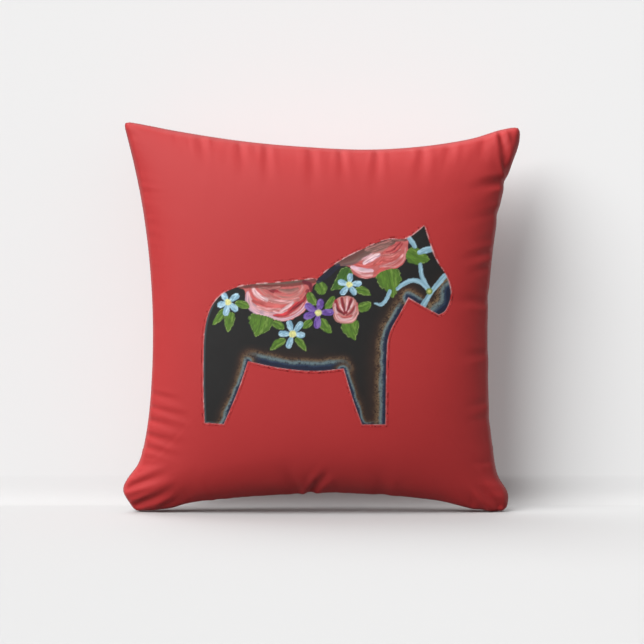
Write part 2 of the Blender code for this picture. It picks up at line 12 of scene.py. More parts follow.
import bpy
import numpy as np
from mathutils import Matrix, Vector


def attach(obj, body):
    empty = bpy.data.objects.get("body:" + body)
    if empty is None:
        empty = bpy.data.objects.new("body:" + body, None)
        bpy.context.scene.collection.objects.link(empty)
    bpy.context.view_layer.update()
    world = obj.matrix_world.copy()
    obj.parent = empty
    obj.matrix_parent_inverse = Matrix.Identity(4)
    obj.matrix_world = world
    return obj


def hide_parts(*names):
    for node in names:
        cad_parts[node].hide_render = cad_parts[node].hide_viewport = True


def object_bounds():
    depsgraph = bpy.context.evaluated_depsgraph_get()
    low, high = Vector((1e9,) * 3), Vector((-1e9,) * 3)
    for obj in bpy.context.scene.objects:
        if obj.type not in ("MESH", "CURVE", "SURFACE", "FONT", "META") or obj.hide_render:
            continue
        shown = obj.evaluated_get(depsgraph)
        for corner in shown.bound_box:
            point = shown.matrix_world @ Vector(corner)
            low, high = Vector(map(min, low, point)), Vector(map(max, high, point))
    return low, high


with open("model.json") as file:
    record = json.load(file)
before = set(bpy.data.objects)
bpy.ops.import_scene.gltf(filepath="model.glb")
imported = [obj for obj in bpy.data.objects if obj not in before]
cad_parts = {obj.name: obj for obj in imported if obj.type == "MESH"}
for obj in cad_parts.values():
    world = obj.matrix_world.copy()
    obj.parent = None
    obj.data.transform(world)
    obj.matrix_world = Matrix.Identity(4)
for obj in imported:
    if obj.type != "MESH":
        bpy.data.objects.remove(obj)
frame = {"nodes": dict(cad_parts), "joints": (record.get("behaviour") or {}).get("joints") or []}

CAD_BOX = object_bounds()
MM = 0.001

# ------------------------------------------------------------------ driving sizes

FLAT_SIDE = 0.406               # the cover's side, laid flat
CLOTH_CELLS = 96                # simulated cells along each side
FINE = 2                        # finer cells for each simulated cell
FINE_POINTS = CLOTH_CELLS * FINE + 1
CLOTH = 0.0006                  # cloth thickness
FLOOR_GAP = 0.0003
SIM_FRAMES = 34

# The seam outline of the CAD cover, in millimetres: (height, x) for the two sides, and
# (x, height) for the bottom and the top.
LEFT_SIDE = [(-15, -184), (4, -190), (20, -199.5), (33, -194), (48, -183), (85, -174.5),
             (135, -170), (195, -169), (250, -172), (300, -178), (345, -186.5), (392, -198)]
RIGHT_SIDE = [(-15, 181), (4, 187), (18, 188), (34, 178), (60, 173), (100, 169), (195, 167.5),
              (258, 172), (310, 180), (345, 190), (366, 197.5), (378, 199), (392, 198)]
BOTTOM_SIDE = [(-205, -20), (-185, -15), (-158, -2), (-135, 7.5), (-95, 13.5), (-45, 18),
               (5, 20.5), (60, 18), (105, 13), (135, 6.5), (156, -2), (182, -14), (205, -19)]
TOP_SIDE = [(-205, 391), (-185, 388.5), (-143, 380.5), (-80, 371), (-20, 365.5), (45, 362.5),
            (100, 365.5), (150, 373), (180, 382), (205, 386)]

# The zip: an arc about the slider's joint axis, on the CAD's cone.
ZIP_JOINT = next(joint for joint in frame["joints"] if joint["name"] == "zip_slide")
ZIP_AXIS = Vector(ZIP_JOINT["pos_m"])
ZIP_RADIUS = 0.330
ZIP_TILT = math.atan(0.32)
ZIP_FLAT_HEIGHT = 0.072         # the zip's height on the flat back, above the bottom seam
ZIP_HALF_GAP = 0.0044
ZIP_CLOSED_GAP = 0.0002
ZIP_OPEN_TO = 0.1290            # along the cloth
ZIP_SHUT_AT = 0.1375
ZIP_BAND_UP = (0.009, 0.009)    # cloth held flat beside the zip, and the width of its fade
ZIP_BAND_ALONG = (0.145, 0.030)
COIL_HALF_LENGTH = 0.1225


def ease(value):
    """Smooth step from 0 to 1."""
    value = np.clip(value, 0.0, 1.0)
    return value * value * (3.0 - 2.0 * value)


def bump(value):
    """1 at zero, falling smoothly to 0 at 1 and beyond."""
    return 1.0 - ease(np.abs(value))


def along(points, places):
    """Smooth curve through (place, value) points, by cubic Hermite interpolation."""
    x = np.array([p[0] for p in points], float)
    y = np.array([p[1] for p in points], float)
    places = np.asarray(places, float)
    slope = np.empty(len(x))
    slope[1:-1] = (y[2:] - y[:-2]) / (x[2:] - x[:-2])
    slope[0] = (y[1] - y[0]) / (x[1] - x[0])
    slope[-1] = (y[-1] - y[-2]) / (x[-1] - x[-2])
    i = np.clip(np.searchsorted(x, places) - 1, 0, len(x) - 2)
    width = x[i + 1] - x[i]
    t = np.clip((places - x[i]) / width, 0.0, 1.0)
    s = 1.0 - t
    return (y[i] * (1 + 2 * t) * s * s + y[i + 1] * t * t * (3 - 2 * t)
            + slope[i] * width * t * s * s - slope[i + 1] * width * t * t * s)


# ------------------------------------------------------------------ grids of points

def spline_weights(t):
    """Weights of the four points round a place on a Catmull-Rom curve."""
    return (t * (-0.5 + t * (1.0 - 0.5 * t)), 1.0 + t * t * (-2.5 + 1.5 * t),
            t * (0.5 + t * (2.0 - 1.5 * t)), t * t * (-0.5 + 0.5 * t))


def extended(rows):
    """The rows, with one more beyond each end on a straight course."""
    return np.concatenate([2 * rows[:1] - rows[1:2], rows, 2 * rows[-1:] - rows[-2:-1]])


def sample(grid, u, v):
    """Smoothly interpolate a grid of points (rows by columns) at shares u across and v up."""
    rows, columns = grid.shape[0] - 1, grid.shape[1] - 1
    wide = extended(extended(grid.swapaxes(0, 1)).swapaxes(0, 1))
    i = np.clip((u * columns).astype(int), 0, columns - 1)
    j = np.clip((v * rows).astype(int), 0, rows - 1)
    across = spline_weights(u * columns - i)
    upward = spline_weights(v * rows - j)
    total = 0.0
    for a in range(4):
        line = sum(across[b][..., None] * wide[j + a, i + b] for b in range(4))
        total = total + upward[a][..., None] * line
    return total


def normals_of(points):
    """Unit normals of a grid of points, towards the viewer of (u right, v up)."""
    across = np.gradient(points, axis=1)
    upward = np.gradient(points, axis=0)
    normal = np.cross(across, upward)
    return normal / np.maximum(np.linalg.norm(normal, axis=-1, keepdims=True), 1e-12)


def quads_of(index, flip=False):
    """Quads between the neighbours in a grid of vertex numbers."""
    quads = np.stack([index[:-1, :-1], index[:-1, 1:], index[1:, 1:], index[1:, :-1]], -1)
    quads = quads.reshape(-1, 4)
    return quads[:, ::-1] if flip else quads


def grid_faces(rows, columns, flip=False):
    """Quads of a grid with this many rows and columns of points."""
    return quads_of(np.arange(rows * columns).reshape(rows, columns), flip)


def even_grid(count):
    """Even shares across and up a square of cloth."""
    return np.meshgrid(np.linspace(0, 1, count), np.linspace(0, 1, count))


def link_mesh(name, points, faces):
    """A smooth mesh object from lists of points and faces."""
    mesh = bpy.data.meshes.new(name)
    mesh.from_pydata(points, [], faces)
    mesh.shade_smooth()
    piece = bpy.data.objects.new(name, mesh)
    bpy.context.scene.collection.objects.link(piece)
    return piece


def make_mesh(name, points, faces):
    """A smooth mesh object from arrays of points and of faces."""
    piece = link_mesh(name, np.asarray(points).reshape(-1, 3).tolist(), np.asarray(faces).tolist())
    piece.data.validate()
    return piece


def add_flat(piece, u, v):
    """Store each vertex's place on the flat cloth, for the weave."""
    flat = np.stack([(u - 0.5) * FLAT_SIDE, v * FLAT_SIDE, np.zeros(u.shape)], -1)
    add_vectors(piece, "flat", flat)


def declare(piece, node):
    """A piece that rides on the cushion and stands for one CAD node."""
    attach(piece, "cushion")
    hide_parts(node)


def add_vectors(piece, name, values):
    """Store a vector for each vertex."""
    attribute = piece.data.attributes.new(name, "FLOAT_VECTOR", "POINT")
    attribute.data.foreach_set("vector", np.asarray(values, np.float32).ravel())


def add_colours(piece, name, values):
    """Store a linear colour with alpha for each vertex."""
    attribute = piece.data.color_attributes.new(name, "FLOAT_COLOR", "POINT")
    attribute.data.foreach_set("color", np.asarray(values, np.float32).ravel())


def thicken(piece, thickness):
    """Give a cloth surface its thickness, inwards."""
    solidify = piece.modifiers.new("cloth_thickness", "SOLIDIFY")
    solidify.thickness = thickness
    solidify.offset = -1.0
    solidify.use_even_offset = False


# ------------------------------------------------------------------ the cushion's outline

# Small steps where the seam is caught up on the right: (height, width, depth) in millimetres.
SEAM_STEPS = [(330, 6, 3.4), (297, 6, 2.4), (215, 8, 1.4), (150, 14, -0.8), (92, 8, 0.9)]
CORNER_ROUNDING = 0.0034
CORNER_START = 0.18
CORNER_ROUNDS = 40
LOBE_HEIGHT = 0.0065            # below this the bottom corners round off on the floor
RAW_STEPS = 600                 # points along each side as it is first drawn
LOOP_STEPS = 500                # even points along each side after that


def corner(side, level, start):
    """Where an upright side crosses a level side, in metres, found by repeated steps."""
    x = start
    for _ in range(CORNER_ROUNDS):
        z = float(along(level, x / MM)) * MM
        x = float(along(side, z / MM)) * MM
    return np.array([x, z])


def even_points(points, count):
    """Points at even distances along a polyline."""
    step = np.linalg.norm(np.diff(points, axis=0), axis=1)
    length = np.concatenate([[0.0], np.cumsum(step)])
    places = np.linspace(0.0, length[-1], count)
    return np.stack([np.interp(places, length, points[:, k]) for k in range(points.shape[1])], 1)


def rounded(loop, spread):
    """Smooth a closed loop of even points over this distance."""
    step = np.linalg.norm(loop[1] - loop[0])
    reach = int(3 * spread / step)
    weights = np.exp(-0.5 * (np.arange(-reach, reach + 1) * step / spread) ** 2)
    weights /= weights.sum()
    wide = np.concatenate([loop[-reach:], loop, loop[:reach]])
    return np.stack([np.convolve(wide[:, k], weights, "valid") for k in range(2)], 1)


def outline_edges(count):
    """The four sides of the seam, as even points (x, z): bottom, top, left and right."""
    low_left = corner(LEFT_SIDE, BOTTOM_SIDE, -CORNER_START)
    low_right = corner(RIGHT_SIDE, BOTTOM_SIDE, CORNER_START)
    high_left = corner(LEFT_SIDE, TOP_SIDE, -CORNER_START)
    high_right = corner(RIGHT_SIDE, TOP_SIDE, CORNER_START)
    share = np.linspace(0.0, 1.0, RAW_STEPS)

    def level(points, start, end):
        x = start[0] + (end[0] - start[0]) * share
        return np.stack([x, along(points, x / MM) * MM], 1)

    def upright(points, start, end):
        z = start[1] + (end[1] - start[1]) * share
        return np.stack([along(points, z / MM) * MM, z], 1)

    bottom = even_points(level(BOTTOM_SIDE, low_left, low_right), LOOP_STEPS + 1)
    top = even_points(level(TOP_SIDE, high_left, high_right), LOOP_STEPS + 1)
    left = even_points(upright(LEFT_SIDE, low_left, high_left), LOOP_STEPS + 1)
    right = upright(RIGHT_SIDE, low_right, high_right)
    for height, width, depth in SEAM_STEPS:
        right[:, 0] -= depth * MM * bump((right[:, 1] / MM - height) / width)
    right = even_points(right, LOOP_STEPS + 1)
    loop = np.concatenate([bottom[:-1], right[:-1], top[:0:-1], left[:0:-1]])
    loop = rounded(loop, CORNER_ROUNDING)
    low = np.minimum(loop[:, 1], LOBE_HEIGHT)
    loop[:, 1] += LOBE_HEIGHT * np.exp(low / LOBE_HEIGHT - 1.0) - low + FLOOR_GAP
    loop = np.concatenate([loop, loop[:1]])
    sides = [loop[k * LOOP_STEPS:(k + 1) * LOOP_STEPS + 1] for k in range(4)]
    ordered = (sides[0], sides[2][::-1], sides[3][::-1], sides[1])
    return [even_points(line, count) for line in ordered]


def coons(bottom, top, left, right):
    """Fill four sides with a grid of (x, z) points."""
    count = len(bottom)
    u = np.linspace(0.0, 1.0, count)[None, :, None]
    v = np.linspace(0.0, 1.0, count)[:, None, None]
    flat = ((1 - v) * bottom[None] + v * top[None] + (1 - u) * left[:, None] + u * right[:, None])
    return flat - ((1 - u) * (1 - v) * bottom[0] + u * (1 - v) * bottom[-1]
                   + (1 - u) * v * top[0] + u * v * top[-1])


CROWN_SQUARENESS = 2.6
CROWN_FULLNESS = 0.35
CROWN_CORNER_LOSS = 0.5


def start_dome(depth):
    """First guess of one half of the cushion: a crowned square over the outline."""
    count = CLOTH_CELLS + 1
    plan = coons(*outline_edges(count))
    s = np.linspace(-1.0, 1.0, count)[None, :]
    t = np.linspace(-1.0, 1.0, count)[:, None]
    across, upward = (1 - np.abs(share) ** CROWN_SQUARENESS for share in (s, t))
    crown = (across * upward) ** CROWN_FULLNESS
    crown = crown * (1 - CROWN_CORNER_LOSS * (s * t) ** 2)
    return np.stack([plan[..., 0], depth * crown, plan[..., 1]], -1)


# ------------------------------------------------------------------ the zip's own axes

def zip_point(run, up, out):
    """Point at a distance along the zip, up the cloth, and out from the cloth's surface."""
    angle = np.asarray(run) / ZIP_RADIUS
    sine, cosine = np.sin(angle), np.cos(angle)
    tilt_sine, tilt_cosine = math.sin(ZIP_TILT), math.cos(ZIP_TILT)
    radius = ZIP_RADIUS + up * tilt_sine + out * tilt_cosine
    places = np.broadcast_arrays(radius * sine + ZIP_AXIS.x, radius * cosine + ZIP_AXIS.y,
                                 ZIP_AXIS.z + up * tilt_cosine - out * tilt_sine)
    return np.stack(places, -1)


def zip_band(run, height):
    """1 on the band of cloth that is sewn to the zip, 0 away from it, on the flat back."""
    upward = (np.abs(height - ZIP_FLAT_HEIGHT) - ZIP_BAND_UP[0]) / ZIP_BAND_UP[1]
    sideways = (np.abs(run) - ZIP_BAND_ALONG[0]) / ZIP_BAND_ALONG[1]
    return (1 - ease(upward)) * (1 - ease(sideways))


# ------------------------------------------------------------------ cloth simulation

def cover_mesh(front, back):
    """One closed mesh of both halves, which share the seam, and each half's vertex numbers."""
    count = front.shape[0]
    front_index = np.arange(count * count).reshape(count, count)
    back_index = front_index.copy()
    inner = (count - 2) ** 2
    back_index[1:-1, 1:-1] = (count * count + np.arange(inner)).reshape(count - 2, count - 2)
    points = np.concatenate([front.reshape(-1, 3), back[1:-1, 1:-1].reshape(-1, 3)])
    faces = np.concatenate([quads_of(front_index), quads_of(back_index, True)])
    return points, faces, front_index, back_index


CLOTH_SETTINGS = {
    "pin_stiffness": 2.0, "quality": 6, "mass": 0.3, "air_damping": 4,
    "tension_stiffness": 40, "compression_stiffness": 40, "shear_stiffness": 8,
    "bending_stiffness": 0.15, "tension_damping": 5, "compression_damping": 5,
    "shear_damping": 5, "use_pressure": True, "uniform_pressure_force": 5.0,
}


def simulate_cover(front, back, pins):
    """Blow the sewn cover up until the cloth is tight, and return both halves."""
    count = front.shape[0]
    points, faces, front_index, back_index = cover_mesh(front, back)
    cover = make_mesh("simulated_cover", points, faces)
    line = (np.linspace(0.0, 1.0, count) - 0.5) * FLAT_SIDE
    flat = np.stack(np.broadcast_arrays(line[None, :], 0.0, line[:, None]), -1).reshape(-1, 3)
    rest = np.concatenate([flat, flat.reshape(count, count, 3)[1:-1, 1:-1].reshape(-1, 3)])
    cover.shape_key_add(name="stuffed")
    key = cover.shape_key_add(name="flat")
    key.data.foreach_set("co", rest.astype(np.float32).ravel())
    key.value = 0.0
    group = cover.vertex_groups.new(name="pins")
    for number in np.flatnonzero(pins > 0):
        group.add([int(number)], float(pins[number]), "REPLACE")
    modifier = cover.modifiers.new("cloth", "CLOTH")
    cloth = modifier.settings
    cloth.rest_shape_key = key
    cloth.vertex_group_mass = "pins"
    for setting, value in CLOTH_SETTINGS.items():
        setattr(cloth, setting, value)
    cloth.effector_weights.gravity = 0
    modifier.collision_settings.use_collision = False
    modifier.point_cache.frame_end = SIM_FRAMES
    scene = bpy.context.scene
    for number in range(1, SIM_FRAMES + 1):
        scene.frame_set(number)
    evaluated = cover.evaluated_get(bpy.context.evaluated_depsgraph_get())
    result = np.empty(len(evaluated.data.vertices) * 3, np.float32)
    evaluated.data.vertices.foreach_get("co", result)
    result = result.reshape(-1, 3).astype(float)
    bpy.data.objects.remove(cover)
    scene.frame_set(1)
    return result[front_index], result[back_index]


def pin_weights(count):
    """How firmly each cloth point keeps its place: the seam, and the band on the zip."""
    seam = np.zeros((count, count))
    seam[0] = seam[-1] = 1.0
    seam[:, 0] = seam[:, -1] = 1.0
    line = (np.linspace(0.0, 1.0, count) - 0.5) * FLAT_SIDE
    band = zip_band(line[None, :], (line + FLAT_SIDE / 2)[:, None])
    return np.concatenate([seam.ravel(), band[1:-1, 1:-1].ravel()])


DEPTH_LEFT = 0.002              # kept free inside the CAD box, front and back
START_FULLNESS = 0.97           # the first guess is this share of the full depth


def stuffed_cover():
    """Both halves of the stuffed cover, as grids of points."""
    low, high = CAD_BOX
    depth = ((high.y - low.y) / 2 - DEPTH_LEFT) * START_FULLNESS
    front, back = start_dome(-depth), start_dome(depth)
    line = (np.linspace(0.0, 1.0, CLOTH_CELLS + 1) - 0.5) * FLAT_SIDE
    run, height = np.meshgrid(line, line + FLAT_SIDE / 2)
    band = zip_band(run, height)[..., None]
    back = back * (1 - band) + zip_point(run, height - ZIP_FLAT_HEIGHT, 0.0) * band
    return simulate_cover(front, back, pin_weights(CLOTH_CELLS + 1))


# ------------------------------------------------------------------ surface detail

# Soft creases, in millimetres: start at the seam and end (x, z), half width and depth.
FRONT_CREASES = [
    ((-14, 18), (13, 51), 4.5, 2.0), ((-24, 24), (-44, 58), 8, 0.9), ((62, 20), (54, 56), 9, 0.8),
    ((-172, 121), (-128, 112), 3.5, 0.7), ((-172, 107), (-120, 96), 3.5, 0.9),
    ((-174, 94), (-126, 84), 3.5, 0.8), ((-174, 79), (-128, 68), 4.0, 0.9),
    ((-176, 66), (-134, 58), 3.5, 0.7), ((-196, 24), (-140, 46), 4.5, 2.2),
    ((-184, 8), (-132, 30), 4.5, 1.7), ((-160, 4), (-120, 30), 5, 1.0),
    ((177, 387), (185, 346), 3.8, 3.6), ((186, 332), (179, 368), 3.8, 3.2),
    ((184, 330), (146, 322), 6, 1.6), ((168, 383), (152, 340), 6, 1.3),
    ((178, 6), (142, 42), 6, 1.6), ((160, 4), (132, 34), 6, 1.0), ((168, 208), (128, 216), 5, 1.0),
    ((174, 262), (130, 250), 5, 1.1), ((173, 246), (136, 240), 5, 0.8),
    ((168, 160), (130, 158), 5, 0.8),
    ((169, 112), (134, 106), 5, 0.8), ((-80, 371), (-74, 326), 6, 0.9),
    ((-54, 368), (-51, 318), 5, 0.9),
    ((-10, 364), (-6, 314), 6, 1.0), ((20, 364), (22, 318), 5, 0.9),
    ((56, 363), (53, 316), 5, 1.0),
    ((102, 366), (95, 322), 6, 1.1), ((130, 371), (118, 334), 6, 0.8),
    ((-120, 377), (-110, 338), 6, 0.8),
]
BACK_CREASES = [
    ((-30, 18), (-36, 42), 5, 1.2), ((46, 18), (44, 44), 5, 1.0), ((128, 8), (108, 34), 6, 1.4),
    ((-138, 8), (-118, 34), 6, 1.4), ((-186, 386), (-146, 336), 7, 2.4),
    ((186, 380), (154, 334), 7, 2.4),
    ((60, 364), (52, 318), 6, 1.1), ((-20, 366), (-24, 314), 6, 1.0),
    ((-170, 220), (-124, 214), 6, 1.0),
    ((170, 240), (124, 236), 6, 1.0), ((168, 130), (128, 128), 6, 0.9),
    ((-174, 120), (-128, 112), 6, 0.9),
    ((-172, 300), (-130, 290), 6, 1.0), ((178, 300), (134, 292), 6, 1.0),
    ((-90, 370), (-82, 326), 6, 0.9),
]


def segment_place(x, z, start, end):
    """Share along a line from start to end, and distance from it."""
    direction = np.array(end, float) - np.array(start, float)
    length = np.linalg.norm(direction)
    direction /= length
    dx, dz = x - start[0], z - start[1]
    share = (dx * direction[0] + dz * direction[1]) / length
    clipped = np.clip(share, 0.0, 1.0)
    away = np.hypot(dx - clipped * length * direction[0], dz - clipped * length * direction[1])
    return clipped, away


CREASE_FULL = 0.15              # share of a crease that has its full depth
CREASE_WIDENS = (0.75, 0.6)     # its width at its start, and how much wider it is at its end
VALLEY = 1.3
SHOULDER = (0.45, 1.6, 1.1)     # height, place and width of the rise beside the valley


def crease_depth(points, creases):
    """How far the creases press the cloth in, in metres."""
    x, z = points[..., 0] / MM, points[..., 2] / MM
    total = np.zeros(x.shape)
    for start, end, half_width, depth in creases:
        share, away = segment_place(x, z, start, end)
        fade = 1.0 - ease((share - CREASE_FULL) / (1.0 - CREASE_FULL))
        spread = half_width * (CREASE_WIDENS[0] + CREASE_WIDENS[1] * share)
        height, place, width = SHOULDER
        shoulder = height * bump((away - place * spread) / (width * spread))
        total += depth * fade * (bump(away / (spread * VALLEY)) - shoulder)
    return total * MM


def seam_distance(u, v):
    """Distance to the nearest seam across the flat cloth, and the place along that seam."""
    x, z = (u - 0.5) * FLAT_SIDE, (v - 0.5) * FLAT_SIDE
    half = FLAT_SIDE / 2
    to_side, to_level = half - np.abs(x), half - np.abs(z)
    place = np.where(to_side < to_level, z, x)
    return np.minimum(to_side, to_level), place, to_side < to_level


# The puckers: fine waves, and broader patches of gathers.  Lengths are in metres, except those of
# the gathers, which are in millimetres.
WAVE_LENGTHS = (0.0033, 0.0061)
WAVE_SWAYS = (0.017, 0.023)
WAVE_HEIGHT = 0.0002
WAVE_FADE = 0.011
GROOVE_DEPTH = 0.0009
GROOVE_WIDTH = 0.0028
GATHER_SIZES = (6.5, 3.1)
GATHER_STRETCH = 0.16           # how slowly a gather changes away from the seam
GATHER_HEIGHT = 0.00105
GATHER_PATCH = 46.0
GATHER_REACH = (5.0, 20.0)      # where gathers start, and how far they last
SEAM_BLEND = 0.006


def seam_puckers(u, v, phase):
    """Small gathers across the seam, which fade out within about 30 mm of it."""
    distance, place, upright = seam_distance(u, v)
    long_sway = 2.1 * np.sin(place / WAVE_SWAYS[0] + phase)
    short_sway = 1.7 * phase + 1.4 * np.sin(place / WAVE_SWAYS[1])
    wave = (np.sin(place / WAVE_LENGTHS[0] + phase + long_sway)
            + 0.8 * np.sin(place / WAVE_LENGTHS[1] + short_sway))
    strength = 0.55 + 0.45 * np.sin(place / 0.031 + 2.3 * phase + upright * 1.9)
    fade = np.exp(-distance / WAVE_FADE) * ease(distance / 0.003)
    groove = GROOVE_DEPTH * bump(distance / GROOVE_WIDTH)
    seed = int(10 * phase) + 70
    along_seam, far = place / MM, distance / MM
    stretched = far * GATHER_STRETCH + 200 * upright
    gathers = value_noise(along_seam, stretched, GATHER_SIZES[0], seed)
    gathers = gathers + 0.6 * value_noise(along_seam, stretched, GATHER_SIZES[1], seed + 1) - 0.8
    sides = np.broadcast_to(300.0 * upright, place.shape)
    patchy = ease(2.4 * value_noise(along_seam, sides, GATHER_PATCH, seed + 2) - 0.55)
    reach = ease(far / GATHER_REACH[0]) * np.exp(-far / GATHER_REACH[1])
    waves = WAVE_HEIGHT * wave * strength * fade
    return waves + GATHER_HEIGHT * gathers * patchy * reach - groove


def finish_half(points, side, phase, creases):
    """Refine one simulated half, and add creases, gathers and the seam's groove."""
    u, v = even_grid(FINE_POINTS)
    fine = sample(points, u, v)
    outward = normals_of(fine) * side
    lift = seam_puckers(u, v, phase) - crease_depth(fine, creases)
    distance, _, _ = seam_distance(u, v)
    inner = ease(distance / SEAM_BLEND)
    seam_only = np.where(distance < 1e-6, -GROOVE_DEPTH, 0.0)
    centre = np.array([0.0, 0.0, fine[..., 2].mean()])
    inward = fine - centre
    inward[..., 1] = 0.0
    inward /= np.maximum(np.linalg.norm(inward, axis=-1, keepdims=True), 1e-9)
    fine = fine + outward * (lift * inner)[..., None] + inward * seam_only[..., None]
    fine[..., 2] = np.maximum(fine[..., 2], FLOOR_GAP)
    return fine


def cloth_piece(name, points, u, v, flip, node, material):
    """One panel of the cover, with its flat cloth position stored for the weave."""
    piece = make_mesh(name, points, grid_faces(points.shape[0], points.shape[1], flip))
    add_flat(piece, u, v)
    thicken(piece, CLOTH)
    piece.data.materials.append(material)
    declare(piece, node)
    return piece


# The folded edge beside the zip: distance from the fold, height of the cloth there.
HEM = [(1.6, -1.3), (0.5, -1.1), (0.0, -0.55), (0.25, 0.05), (0.8, 0.28), (1.4, 0.22),
       (1.9, -0.05),
       (2.2, -0.22), (2.5, -0.05), (3.0, 0.16), (3.8, 0.12), (5.0, 0.0), (6.6, 0.0), (8.4, 0.0)]
STITCH_FROM_FOLD = 0.0022
HEM_FADE = (0.150, 0.020)       # where the hem's relief starts to fade along the zip, and how fast
HEM_LEFT = 0.35                 # share of its relief that stays beyond the zip
PANEL_SEAM_BLEND = 0.008


def zip_gap(run):
    """Half the opening between the two folded edges."""
    closing = (np.abs(run) - ZIP_OPEN_TO) / (ZIP_SHUT_AT - ZIP_OPEN_TO)
    return ZIP_HALF_GAP + (ZIP_CLOSED_GAP - ZIP_HALF_GAP) * ease(closing)


def back_panel(name, fine, upward, node, material):
    """One back panel, from the folded edge at the zip to the seam; upward is 1 or -1."""
    u = np.linspace(0.0, 1.0, FINE_POINTS)
    run = (u - 0.5) * FLAT_SIDE
    far = FLAT_SIDE if upward > 0 else 0.0
    reach = abs(far - ZIP_FLAT_HEIGHT) - HEM[-1][0] * MM
    steps = int(round(reach / (FLAT_SIDE / (CLOTH_CELLS * FINE))))
    beyond = HEM[-1][0] * MM + reach * np.linspace(0, 1, steps + 1)[1:]
    offsets = np.concatenate([[place * MM for place, _ in HEM], beyond])
    lifts = np.concatenate([[lift * MM for _, lift in HEM], np.zeros(len(beyond))])
    gap = zip_gap(run)
    total = abs(far - ZIP_FLAT_HEIGHT) - gap
    up = gap[None, :] + total[None, :] * (offsets / offsets[-1])[:, None]
    height = ZIP_FLAT_HEIGHT + upward * up
    u_grid = np.broadcast_to(u[None, :], height.shape)
    v_grid = np.clip(height / FLAT_SIDE, 0.0, 1.0)
    base = sample(fine, u_grid, v_grid)
    run_grid = np.broadcast_to(run[None, :], height.shape)
    side_fade = 1 - ease((np.abs(run_grid) - HEM_FADE[0]) / HEM_FADE[1])
    lift = lifts[:, None] * (HEM_LEFT + (1 - HEM_LEFT) * side_fade)
    band = zip_band(run_grid, height)[..., None]
    on_zip = zip_point(run_grid, upward * up, lift)
    outward = -normals_of(base)
    points = (base + outward * lift[..., None]) * (1 - band) + on_zip * band
    seam_row = ease(np.minimum(u_grid, 1 - u_grid) * FLAT_SIDE / PANEL_SEAM_BLEND)[..., None]
    points = base * (1 - seam_row) + points * seam_row
    points[..., 2] = np.maximum(points[..., 2], FLOOR_GAP)
    return cloth_piece(name, points, u_grid, v_grid, upward > 0, node, material)


# ------------------------------------------------------------------ painting

class Canvas:
    """Colours and cover of ink at scattered points (x, z) in millimetres."""

    def __init__(self, x, z):
        self.x, self.z = x, z
        self.colour = np.zeros(x.shape + (3,))
        self.ink = np.zeros(x.shape)

    def lay(self, colour, amount):
        """Lay a colour (0 to 255, or one for each point) over the canvas."""
        colour = np.asarray(colour, float) / 255.0
        amount = np.clip(amount, 0.0, 1.0)
        kept = self.ink * (1 - amount)
        total = np.maximum(kept + amount, 1e-9)
        blend = self.colour * kept[..., None] + colour * amount[..., None]
        self.colour = blend / total[..., None]
        self.ink = kept + amount


def value_noise(x, z, size, seed):
    """Smooth noise from 0 to 1 with features of about this size."""
    table = np.random.default_rng(seed).random((64, 64))
    gx, gz = x / size + 1000.0, z / size + 1000.0
    ix, iz = np.floor(gx).astype(int), np.floor(gz).astype(int)
    tx, tz = ease(gx - ix), ease(gz - iz)
    ix, iz = ix % 64, iz % 64
    jx, jz = (ix + 1) % 64, (iz + 1) % 64
    low = table[iz, ix] * (1 - tx) + table[iz, jx] * tx
    high = table[jz, ix] * (1 - tx) + table[jz, jx] * tx
    return low * (1 - tz) + high * tz


def smooth_line(points, steps=8, closed=False):
    """Catmull-Rom curve through the points."""
    points = np.array(points, float)
    count = len(points)
    if closed:
        ring = np.concatenate([points[-1:], points, points[:2]])
        spans = count
    else:
        ring = extended(points)
        spans = count - 1
    made = []
    for k in range(spans):
        for t in np.linspace(0, 1, steps, endpoint=False):
            weights = spline_weights(t)
            made.append(sum(w * ring[k + n] for n, w in enumerate(weights)))
    if not closed:
        made.append(points[-1])
    return np.array(made)


def line_field(x, z, line):
    """Distance from each point to a line, its share along it, and which side it is on."""
    best = np.full(x.shape, 1e9)
    share = np.zeros(x.shape)
    side = np.zeros(x.shape)
    lengths = np.linalg.norm(np.diff(line[:, :2], axis=0), axis=1)
    total = max(lengths.sum(), 1e-9)
    start = 0.0
    for (a, b), length in zip(zip(line[:-1, :2], line[1:, :2]), lengths):
        if length < 1e-9:
            continue
        direction = (b - a) / length
        dx, dz = x - a[0], z - a[1]
        t = np.clip(dx * direction[0] + dz * direction[1], 0, length)
        away_x, away_z = dx - t * direction[0], dz - t * direction[1]
        away = np.hypot(away_x, away_z)
        nearer = away < best
        best = np.where(nearer, away, best)
        share = np.where(nearer, (start + t) / total, share)
        side = np.where(nearer, direction[0] * dz - direction[1] * dx, side)
        start += length
    return best, share, np.where(side >= 0, best, -best)


def inside(x, z, line):
    """Whether each point is inside a closed line."""
    crossings = np.zeros(x.shape, int)
    for a, b in zip(line, np.roll(line, -1, axis=0)):
        if a[1] == b[1]:
            continue
        spans = (a[1] > z) != (b[1] > z)
        reach = a[0] + (z - a[1]) * (b[0] - a[0]) / (b[1] - a[1])
        crossings += spans & (x < reach)
    return crossings % 2 == 1


def signed_distance(x, z, line):
    """Distance to a closed line, negative inside."""
    away, _, _ = line_field(x, z, np.concatenate([line, line[:1]]))
    return np.where(inside(x, z, line), -away, away)


def near(canvas, points, reach):
    """Canvas points within a box around a shape, to keep the painting quick."""
    points = np.array(points, float)
    low, high = points[:, :2].min(0) - reach, points[:, :2].max(0) + reach
    across = (canvas.x > low[0]) & (canvas.x < high[0])
    return across & (canvas.z > low[1]) & (canvas.z < high[1])


def lay_at(canvas, chosen, colour, amount):
    """Lay a colour on the chosen points only."""
    part = Canvas(canvas.x[chosen], canvas.z[chosen])
    part.colour, part.ink = canvas.colour[chosen], canvas.ink[chosen]
    part.lay(colour, amount)
    canvas.colour[chosen], canvas.ink[chosen] = part.colour, part.ink


